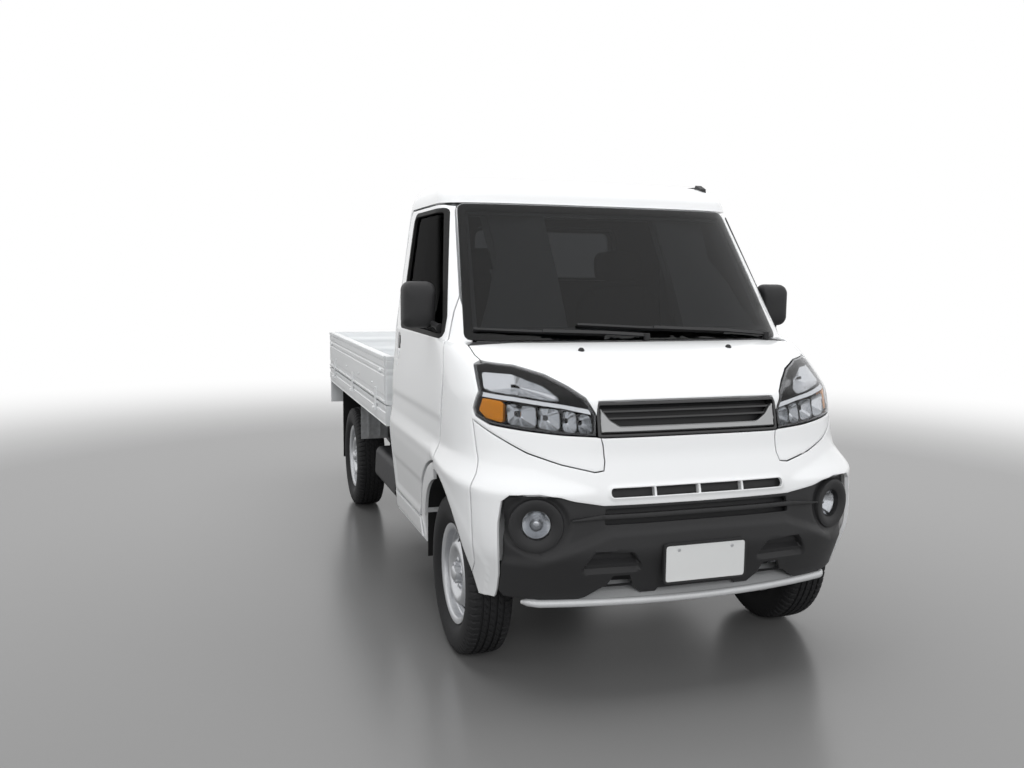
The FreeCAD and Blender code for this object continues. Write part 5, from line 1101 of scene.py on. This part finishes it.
# %% Black drums inside the front arches
LINER_IN, LINER_OUT, LINER_INBOARD, LINER_KEEP = 0.3685, 0.3725, 0.402, 0.014
turn = np.radians(np.linspace(16, 152, 60))
reach = from_side(LINER_OUT * np.cos(turn), WHEEL_LEVEL + LINER_OUT * np.sin(turn)).T
inboard, outboard = np.full(len(turn), LINER_INBOARD), bare_form(*reach)[:, 1] - LINER_KEEP
liner = [np.stack([AXLE + radius * np.cos(turn), across, WHEEL_LEVEL + radius * np.sin(turn)], 1)
         for radius, across in ((LINER_IN, inboard), (LINER_OUT, inboard), (LINER_OUT, outboard),
                                (LINER_IN, outboard))]
ribbon("arch_liner_*", liner, black_plastic, "chassis")

# %% [markdown]
# ## The bed
#
# The boards are pressed sheet: a flat plate whose outer face rises and falls with the level.
# One function lays such a plate in any plane. It takes the places across and up, and a relief
# that says how far the face stands out at each.

# %% Pressed plates
BED_HALF, BED_FRONT_X, BED_REAR_X, DECK = 0.765, -1.060, -3.050, 0.788
BOARD_LOW, BOARD_TOP, BOARD_IN, BOARD_COUNT = 0.7915, 1.0215, 0.735, 60
PRESS_LEVEL = (0.7915, 0.797, 0.7985, 0.806, 0.808, 0.832, 0.835, 0.925, 0.929, 0.936, 0.940,
               0.955, 0.959, 0.966, 0.970, 0.9985, 1.001, 1.0035, 1.019, 1.0215)
PRESS_OUT = (0.0020, 0.005, 0.0070, 0.0070, 0.0010, 0.0010, 0.0036, 0.0036, 0.0008, 0.0008, 0.0036,
             0.0036, 0.0008, 0.0008, 0.0036, 0.0036, 0.0008, 0.0060, 0.0060, 0.0030)
INNER_RIBS, INNER_RIB_HALF, INNER_RIB_OUT, INNER_OUT = (0.840, 0.905, 0.970), 0.022, 0.004, 0.0012
SKIN_BACK, HEAD_SHARE, HEAD_THICK = -0.0004, 0.0022, 0.031
SIDE_AHEAD, SIDE_LINING_AHEAD = -1.0962, -1.0982
TAIL_HALF, TAIL_LINING_HALF, HEAD_HALF = 0.7295, 0.7275, 0.764
KNOB_PLACES, KNOB_LEVEL = (-1.19, -2.96), 0.945
STUD_PLACES, STUD_LEVEL, STUD_OUT = (-1.42, -1.86, -2.30, -2.74), 0.862, 0.002
KNOB = ((0, 0.012), (0.008, 0.011), (0.011, 0.006), (0.011, -0.002), (0, -0.002))
STUD = ((0, 0.007), (0.004, 0.0065), (0.006, 0.004), (0.006, -0.002), (0, -0.002))


def pressed(name, across, up, place, relief, thick, material, body, sharp=25, **words):
    """A closed plate: its outer face is place(across, up, relief), its inner face lies flat at -thick."""
    quads = grid_faces(len(up), len(across), False, False)
    triangles = np.concatenate([quads[:, [0, 1, 2]], quads[:, [0, 2, 3]]])
    across, up = (row.ravel() for row in np.meshgrid(across, up))
    shell = closed_shell(place(across, up, relief(across, up)), place(across, up, np.full(len(up), -thick)),
                         triangles)
    piece(name, *shell, material, body, sharp=sharp, **words)


def facing_out(level_y):
    """The plane of a side board's face, whose relief stands outwards."""
    return lambda x, z, out: np.stack([AXLE + x, level_y + out, z], 1)


def facing_in(x, z, out):
    """The plane of a side board's inner face."""
    return np.stack([AXLE + x, BOARD_IN - out, z], 1)


def facing_back(y, z, out):
    """The plane of the tailgate's face."""
    return np.stack([AXLE + BED_REAR_X - out, y, z], 1)


def facing_ahead(x):
    """A plane across the truck, whose relief stands forward."""
    return lambda y, z, out: np.stack([AXLE + x + out, y, z], 1)


def board_relief(across, level):
    """The board's long ribs: a rolled lip on top, two narrow grooves, and a lip at the bottom."""
    return np.interp(level, PRESS_LEVEL, PRESS_OUT)


def inner_relief(across, level):
    """The inner face has three broad low ribs, each a raised cosine."""
    ribs = (np.cos(np.clip((level - middle) / INNER_RIB_HALF, -1, 1) * math.pi) for middle in INNER_RIBS)
    return INNER_OUT + INNER_RIB_OUT * sum(0.5 + 0.5 * rib for rib in ribs)


def head_relief(across, level):
    """The headboard's front keeps only the grooves."""
    return np.minimum(board_relief(across, level) - HEAD_SHARE, 0)


inner_up = np.linspace(BOARD_LOW, BOARD_TOP, 60)
board_up = np.unique(np.concatenate([PRESS_LEVEL, np.arange(0.85, 0.92, 0.02)]))
pressed("board_skin_*", np.linspace(BED_REAR_X + 0.001, SIDE_AHEAD, BOARD_COUNT), board_up,
        facing_out(BED_HALF), board_relief, SKIN_BACK, bed_paint, "dropside_*")
pressed("board_lining_*", np.linspace(BED_REAR_X + 0.034, SIDE_LINING_AHEAD, BOARD_COUNT), inner_up,
        facing_in, inner_relief, SKIN_BACK, bed_paint, "dropside_*")
for along in KNOB_PLACES:
    turned_piece("board_knob_*", KNOB, (AXLE + along, BED_HALF + STUD_OUT, KNOB_LEVEL), (0, 1, 0), bed_paint,
                 "dropside_*", count=24)
for along in STUD_PLACES:
    turned_piece("board_stud_*", STUD, (AXLE + along, BED_HALF + STUD_OUT, STUD_LEVEL), (0, 1, 0), bed_paint,
                 "dropside_*", count=18)
pressed("board_skin_tail", np.linspace(-TAIL_HALF, TAIL_HALF, 50), board_up, facing_back, board_relief,
        SKIN_BACK, bed_paint, "tailgate")
pressed("board_lining_tail", np.linspace(-TAIL_LINING_HALF, TAIL_LINING_HALF, 50), inner_up,
        facing_ahead(BED_REAR_X + 0.030), inner_relief, SKIN_BACK, bed_paint, "tailgate")
pressed("board_skin_head", np.linspace(-HEAD_HALF, HEAD_HALF, 50), board_up,
        facing_ahead(BED_FRONT_X - 0.0005), head_relief, HEAD_THICK, bed_paint, "chassis",
        replaces=("headboard",))

# %% Deck and side rails
RIB_PITCH, DECK_RIB, RIB_FROM, RIB_FLANK = 0.095, 0.0035, 0.62, 0.14
DECK_BACK, DECK_AHEAD, DECK_SIDE, RIB_BACK, RIB_AHEAD, END_FADE = -3.012, -1.108, 0.715, 3.00, -1.12, 0.02
RAIL_LEVEL = (0.6905, 0.694, 0.697, 0.712, 0.716, 0.752, 0.756, 0.771, 0.774, 0.7875)
RAIL_OUT = (0.001, 0.0035, 0.001, 0.001, 0.0045, 0.0045, 0.001, 0.001, 0.0055, 0.0055)


def deck_relief(x, y):
    """Long ribs along the bed: each is a smooth bump over a third of its pitch."""
    phase = np.abs((y / RIB_PITCH) % 1 - 0.5) * 2
    ends = ease((x + RIB_BACK) / END_FADE) * ease((RIB_AHEAD - x) / END_FADE)
    return DECK_RIB * ease((phase - RIB_FROM) / RIB_FLANK) * ends


def deck_plane(x, y, out):
    """The deck's plane, whose relief stands up."""
    return np.stack([AXLE + x, y, DECK + 0.0006 + out], 1)


def rail_relief(x, level):
    """The rail's long bead, and its lip under the boards."""
    return np.interp(level, RAIL_LEVEL, RAIL_OUT)


pressed("deck_skin", np.linspace(DECK_BACK, DECK_AHEAD, 40), np.linspace(-DECK_SIDE, DECK_SIDE, 302),
        deck_plane, deck_relief, 0.0002, bed_paint, "chassis", sharp=60)
pressed("rail_skin_*", np.linspace(BED_REAR_X + 0.001, BED_FRONT_X - 0.001, 60), RAIL_LEVEL,
        facing_out(BED_HALF), rail_relief, -0.0003, bed_paint, "chassis")

# %% Tail lamps
LENSES = (("red", red_lens, 0.660, 0.744), ("amber", amber_lens, 0.622, 0.6595),
          ("clear", lamp_glass, 0.591, 0.6215))
LENS_LOW, LENS_HIGH, LENS_RIM, LENS_BASE, LENS_RISE = 0.6055, 0.6845, 0.008, 0.0165, 0.006


def rimmed(low, high):
    """Places from low to high that lie close together within both rims."""
    rim = np.linspace(0, LENS_RIM, 5)
    return np.concatenate([low + rim, [(low + high) / 2], high - rim[::-1]])


for color, lens, low, high in LENSES:
    def lens_relief(y, z):
        """A lens is highest in its middle and falls to its rim with the distance to it."""
        rim = np.minimum(np.minimum(y - low, high - y), np.minimum(z - LENS_LOW, LENS_HIGH - z))
        return LENS_BASE + LENS_RISE * (1 - (1 - np.clip(rim / LENS_RIM, 0, 1)) ** 2)

    pressed(f"tail_lens_{color}_*", rimmed(low, high), rimmed(LENS_LOW, LENS_HIGH), facing_back, lens_relief,
            -0.0005, lens, "chassis", sharp=30, replaces=("tail_lamps",) if color == "clear" else ())

# %% Mirrors
MIRROR_PLACE = (AXLE - 0.25, 0.79, 1.29)
MIRROR_HALF, MIRROR_TALL = 0.065, 0.090
HEAD_DEPTH = (-0.030, -0.030, -0.035, -0.035, -0.0335, -0.020, 0.000, 0.012, 0.022, 0.029, 0.033, 0.035,
              0.035)
HEAD_SCALE = (0.0, 0.90, 0.91, 0.96, 0.99, 1.00, 0.985, 0.95, 0.885, 0.78, 0.62, 0.38, 0.0)
GLASS_SHARE, GLASS_AT, GLASS_THICK = 0.90, -0.0325, 0.002


def on_mirror(depth, flat):
    """Points of the mirror's head: its depth ahead, and (y, z) about its middle."""
    return np.concatenate([np.full((len(flat), 1), depth), flat], 1) + MIRROR_PLACE


head_ring = rounded(box(-MIRROR_HALF, MIRROR_HALF, -MIRROR_TALL, MIRROR_TALL), 0.034, 0.006)
head_grid = np.stack([on_mirror(depth, head_ring * scale) for depth, scale in zip(HEAD_DEPTH, HEAD_SCALE)])
wrapped("mirror_head_*", head_grid, black_plastic, "door_*", slot="trim_black", replaces=("mirror_*",))
flat, triangles = filled(head_ring * GLASS_SHARE, [], 0.02, 0.003)
glass_shell = closed_shell(on_mirror(GLASS_AT, flat), on_mirror(GLASS_AT + GLASS_THICK, flat), triangles)
piece("mirror_glass_*", *glass_shell, chrome, "door_*")
foot = spot_on(from_side, -0.152, 1.205, -0.004)
way = np.array(MIRROR_PLACE) + (0.014, -0.044, -0.066) - foot
long = np.linalg.norm(way)
arm = ((0, long), (0.010, long), (0.012, 0.03), (0.017, 0.008), (0.019, 0.0), (0, 0.0))
turned_piece("mirror_arm_*", arm, foot, way, black_plastic, "door_*", count=32)

# %% Number plate and washer nozzles
PLATE_HALF, PLATE_TALL, PLATE_LEVEL, PLATE_THICK, FRAME_THICK = 0.150, 0.0625, 0.4605, 0.002, 0.012
PLATE_FRONT, FRAME_FRONT = AXLE + 0.5985, AXLE + 0.5993
POST = ((0, 0.5965), (0.016, 0.5965), (0.020, 0.540), (0, 0.540))
SCREW = ((0, 0.6000), (0.005, 0.5995), (0.006, 0.5970), (0, 0.5970))
NOZZLE = ((0, 0.010), (0.006, 0.009), (0.010, 0.005), (0.012, 0.0), (0.012, -0.004), (0, -0.004))
plate_ring = rounded(box(-PLATE_HALF, PLATE_HALF, -PLATE_TALL, PLATE_TALL), 0.010, 0.006)


def upright(name, ring, holes, x, thick, material, relief=None, **words):
    """A flat closed plate that faces forward, with an optional relief of (y, height)."""
    flat, triangles = filled(ring, holes, 0.012, 0.003)
    rise = relief(flat) if relief else np.zeros(len(flat))
    outer = np.stack([x + rise, flat[:, 0], PLATE_LEVEL + flat[:, 1]], 1)
    piece(name, *closed_shell(outer, outer - (thick, 0, 0), triangles), material, "chassis", **words)


upright("plate_blank", plate_ring, [], PLATE_FRONT, PLATE_THICK, plate_paint,
        relief=lambda flat: -0.0010 * ease(depth_in(flat, plate_ring) / 0.004 - 0.5), slot="plate_white",
        replaces=("number_plate",))
upright("plate_frame", turned_in(plate_ring, -0.006), [turned_in(plate_ring, 0.0015)], FRAME_FRONT,
        FRAME_THICK, black_plastic)
for across in (-0.10, 0.10):
    turned_piece("plate_post", POST, (AXLE, across, PLATE_LEVEL), (1, 0, 0), black_plastic, "chassis",
                 count=24)
    turned_piece("plate_screw", SCREW, (AXLE, across, PLATE_LEVEL + 0.045), (1, 0, 0), bright_steel,
                 "chassis", count=20)
for across, along in ((-0.293, 0.185), (0.317, 0.173)):
    turned_piece("washer_nozzle", NOZZLE, spot_on(from_top, along, across, 0.0), (0.2, 0, 1), black_plastic,
                 "bonnet", count=28)

# %% [markdown]
# ## Seats
#
# A seat is foam under cloth: crowned faces whose edges pull in. Each cushion is a rounded box
# from a superellipsoid, which is a ball whose sine and cosine are raised to a small power.

# %% Seats
CUSHION_UP, CUSHION_AROUND = 38, 72
SEAT_Y = 0.3325
SIDE_POWER, CORNER_POWER, CROWN_POWER = 0.42, 0.38, 0.62
SEAM_DEEP, SEAM_AT, SEAM_WIDE = 0.10, 0.62, 0.012
CUSHIONS = (
    ("seat_cushion_*", (AXLE - 0.66, SEAT_Y, 0.795), (0.225, 0.222, 0.062), 4, 0.7, ("seat_*",)),
    ("seat_back_*", (AXLE - 0.835, SEAT_Y, 1.09), (0.050, 0.215, 0.275), -10, 0.7, ()),
    ("head_rest_*", (AXLE - 0.872, SEAT_Y, 1.455), (0.030, 0.120, 0.075), -6, 0.9, ()),
)


def soft(value, power):
    """A power that keeps the sign."""
    return np.sign(value) * np.abs(value) ** power


def cushion(half, lean):
    """A superellipsoid: along each axis the half length times a power of sine or cosine, then
    leaned about the y axis. The two seams are shallow channels at fixed places across."""
    around = np.linspace(-math.pi, math.pi, CUSHION_AROUND, endpoint=False)[None]
    up = np.linspace(-math.pi / 2, math.pi / 2, CUSHION_UP)[:, None]
    x = half[0] * soft(np.cos(up), SIDE_POWER) * soft(np.cos(around), CORNER_POWER)
    y = half[1] * soft(np.cos(up), SIDE_POWER) * soft(np.sin(around), CORNER_POWER)
    z = half[2] * soft(np.sin(up), CROWN_POWER)
    z = z * (1 - SEAM_DEEP * np.exp(-((np.abs(y) - half[1] * SEAM_AT) / SEAM_WIDE) ** 2))
    return np.stack([x * math.cos(lean) + z * math.sin(lean), y, z * math.cos(lean) - x * math.sin(lean)], -1)


for name, middle, half, lean, fill, replaced in CUSHIONS:
    wrapped(name, cushion(half, math.radians(lean)) + middle, seat_cloth, "chassis", closed=False,
            slot="seat_cloth", replaces=replaced, sharp=80, fill=fill)

# %% [markdown]
# ## Studio
#
# The camera stands where the photographer stood: its place, turn and focal length were fitted
# to points whose real places are known, such as wheel centres and the bed's corners.

# %% Camera
CAMERA_PLACE = (AXLE + 3.271, -1.584, 1.399)
YAW, PITCH, ROLL = np.radians((161.54, -6.54, 0.60))
FOCAL_PIXELS, PICTURE_WIDE, SENSOR = 930.8, 1024, 36.0

look = Vector((math.cos(YAW) * math.cos(PITCH), math.sin(YAW) * math.cos(PITCH), math.sin(PITCH)))
level_right = look.cross(Vector((0, 0, 1))).normalized()
level_up = level_right.cross(look)
right = math.cos(ROLL) * level_right + math.sin(ROLL) * level_up
upward = math.cos(ROLL) * level_up - math.sin(ROLL) * level_right
camera_data = bpy.data.cameras.new("camera")
camera_data.sensor_width = SENSOR
camera_data.lens = SENSOR * FOCAL_PIXELS / PICTURE_WIDE
camera = bpy.data.objects.new("camera", camera_data)
camera.matrix_world = Matrix.Translation(CAMERA_PLACE) @ Matrix((right, upward, -look)).transposed().to_4x4()
bpy.context.scene.collection.objects.link(camera)
bpy.context.scene.camera = camera
print("lens", round(camera_data.lens, 2), "mm")

# %% [markdown]
# The floor is glossy grey round the truck and fades to white further out, where it meets a
# white room. Four large soft lights shape the paint: one overhead and one on three sides.

# %% Floor
FLOOR_HALF, TONE_REACH, FADE_FROM, FADE_TO = 60.0, 9.0, 3.8, 8.6
FLOOR_TONES = ((0.0, 0.17), (0.30, 0.21), (0.45, 0.22), (0.62, 0.36), (0.80, 0.70), (1.0, 1.0))
WHITE = (1, 1, 1, 1)
floor_mesh = bpy.data.meshes.new("floor")
floor_mesh.from_pydata([(x, y, 0) for x, y in box(-FLOOR_HALF, FLOOR_HALF, -FLOOR_HALF, FLOOR_HALF)], [],
                       [(0, 1, 2, 3)])
floor = bpy.data.objects.new("floor", floor_mesh)
bpy.context.scene.collection.objects.link(floor)
floor_paint, floor_shader, tree = finish("studio_floor", (0.2, 0.2, 0.2), 0.24)
place, seen, tone, blend = (add(tree, kind) for kind in ("TexCoord", "LightPath", "ValToRGB", "MixShader"))
reach, as_seen = add(tree, "VectorMath"), add(tree, "Math")
reach.operation, as_seen.operation = "LENGTH", "MULTIPLY"
share = add(tree, "MapRange", **{"From Max": TONE_REACH})
fade = add(tree, "MapRange", **{"From Min": FADE_FROM, "From Max": FADE_TO})
fade.interpolation_type = "SMOOTHSTEP"
white = add(tree, "Emission", Color=WHITE)
for at, grey in FLOOR_TONES[1:-1]:
    tone.color_ramp.elements.new(at)
for element, (at, grey) in zip(tone.color_ramp.elements, FLOOR_TONES):
    element.position = at
    element.color = (grey, grey, grey * 0.995, 1)
join(tree, (place, "Object", reach, 0), (reach, "Value", share, "Value"), (share, "Result", tone, "Fac"),
     (tone, "Color", floor_shader, "Base Color"), (reach, "Value", fade, "Value"),
     (fade, "Result", as_seen, 0), (seen, "Is Camera Ray", as_seen, 1), (as_seen, "Value", blend, "Fac"),
     (floor_shader, "BSDF", blend, 1),
     (white, "Emission", blend, 2), (blend, "Shader", tree.nodes["Material Output"], "Surface"))
floor_mesh.materials.append(floor_paint)
floor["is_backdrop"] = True


# %% Lights
def soft_light(name, place, aim, size, power):
    """A rectangular area light that faces a point. Mirrors and glass show the white room, not it."""
    data = bpy.data.lights.new(name, "AREA")
    data.shape = "RECTANGLE"
    data.size, data.size_y = size
    data.energy = power
    lamp = bpy.data.objects.new(name, data)
    lamp.visible_glossy = lamp.visible_transmission = False
    lamp.location = place
    lamp.rotation_euler = (Vector(aim) - Vector(place)).to_track_quat("-Z", "Y").to_euler()
    bpy.context.scene.collection.objects.link(lamp)
    return lamp


lights = [
    soft_light("overhead", (0.3, 0, 4.6), (0, 0, 0), (6, 4), 225),
    soft_light("left_side", (3.0, 5.5, 2.4), (0, 0, 0.7), (5, 2.2), 45),
    soft_light("right_side", (2.0, -6.0, 2.6), (0, 0, 0.7), (5, 2.2), 75),
    soft_light("front", (6.8, -1.0, 2.7), (1, 0, 0.8), (4, 2), 165),
]
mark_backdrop(*lights)

# %% The white room, for camera, glass and mirror rays
world = bpy.data.worlds.new("room")
world.use_nodes = True
room = world.node_tree
fill_light = room.nodes["Background"]
fill_light.inputs["Color"].default_value = (0.95, 0.96, 0.97, 1)
fill_light.inputs["Strength"].default_value = 0.30
shown = add(room, "Background", Color=WHITE, Strength=1.0)
path, either, any_of, mixed = (add(room, kind) for kind in ("LightPath", "Math", "Math", "MixShader"))
either.operation = any_of.operation = "MAXIMUM"
join(room, (path, "Is Camera Ray", either, 0), (path, "Is Transmission Ray", either, 1),
     (either, "Value", any_of, 0), (path, "Is Glossy Ray", any_of, 1), (any_of, "Value", mixed, "Fac"),
     (fill_light, "Background", mixed, 1), (shown, "Background", mixed, 2),
     (mixed, "Shader", room.nodes["World Output"], "Surface"))
bpy.context.scene.world = world
bpy.context.scene.view_settings.view_transform = "Standard"

# %% Close the scene
low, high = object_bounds()
print("visual size", [round(b - a, 3) for a, b in zip(low, high)])
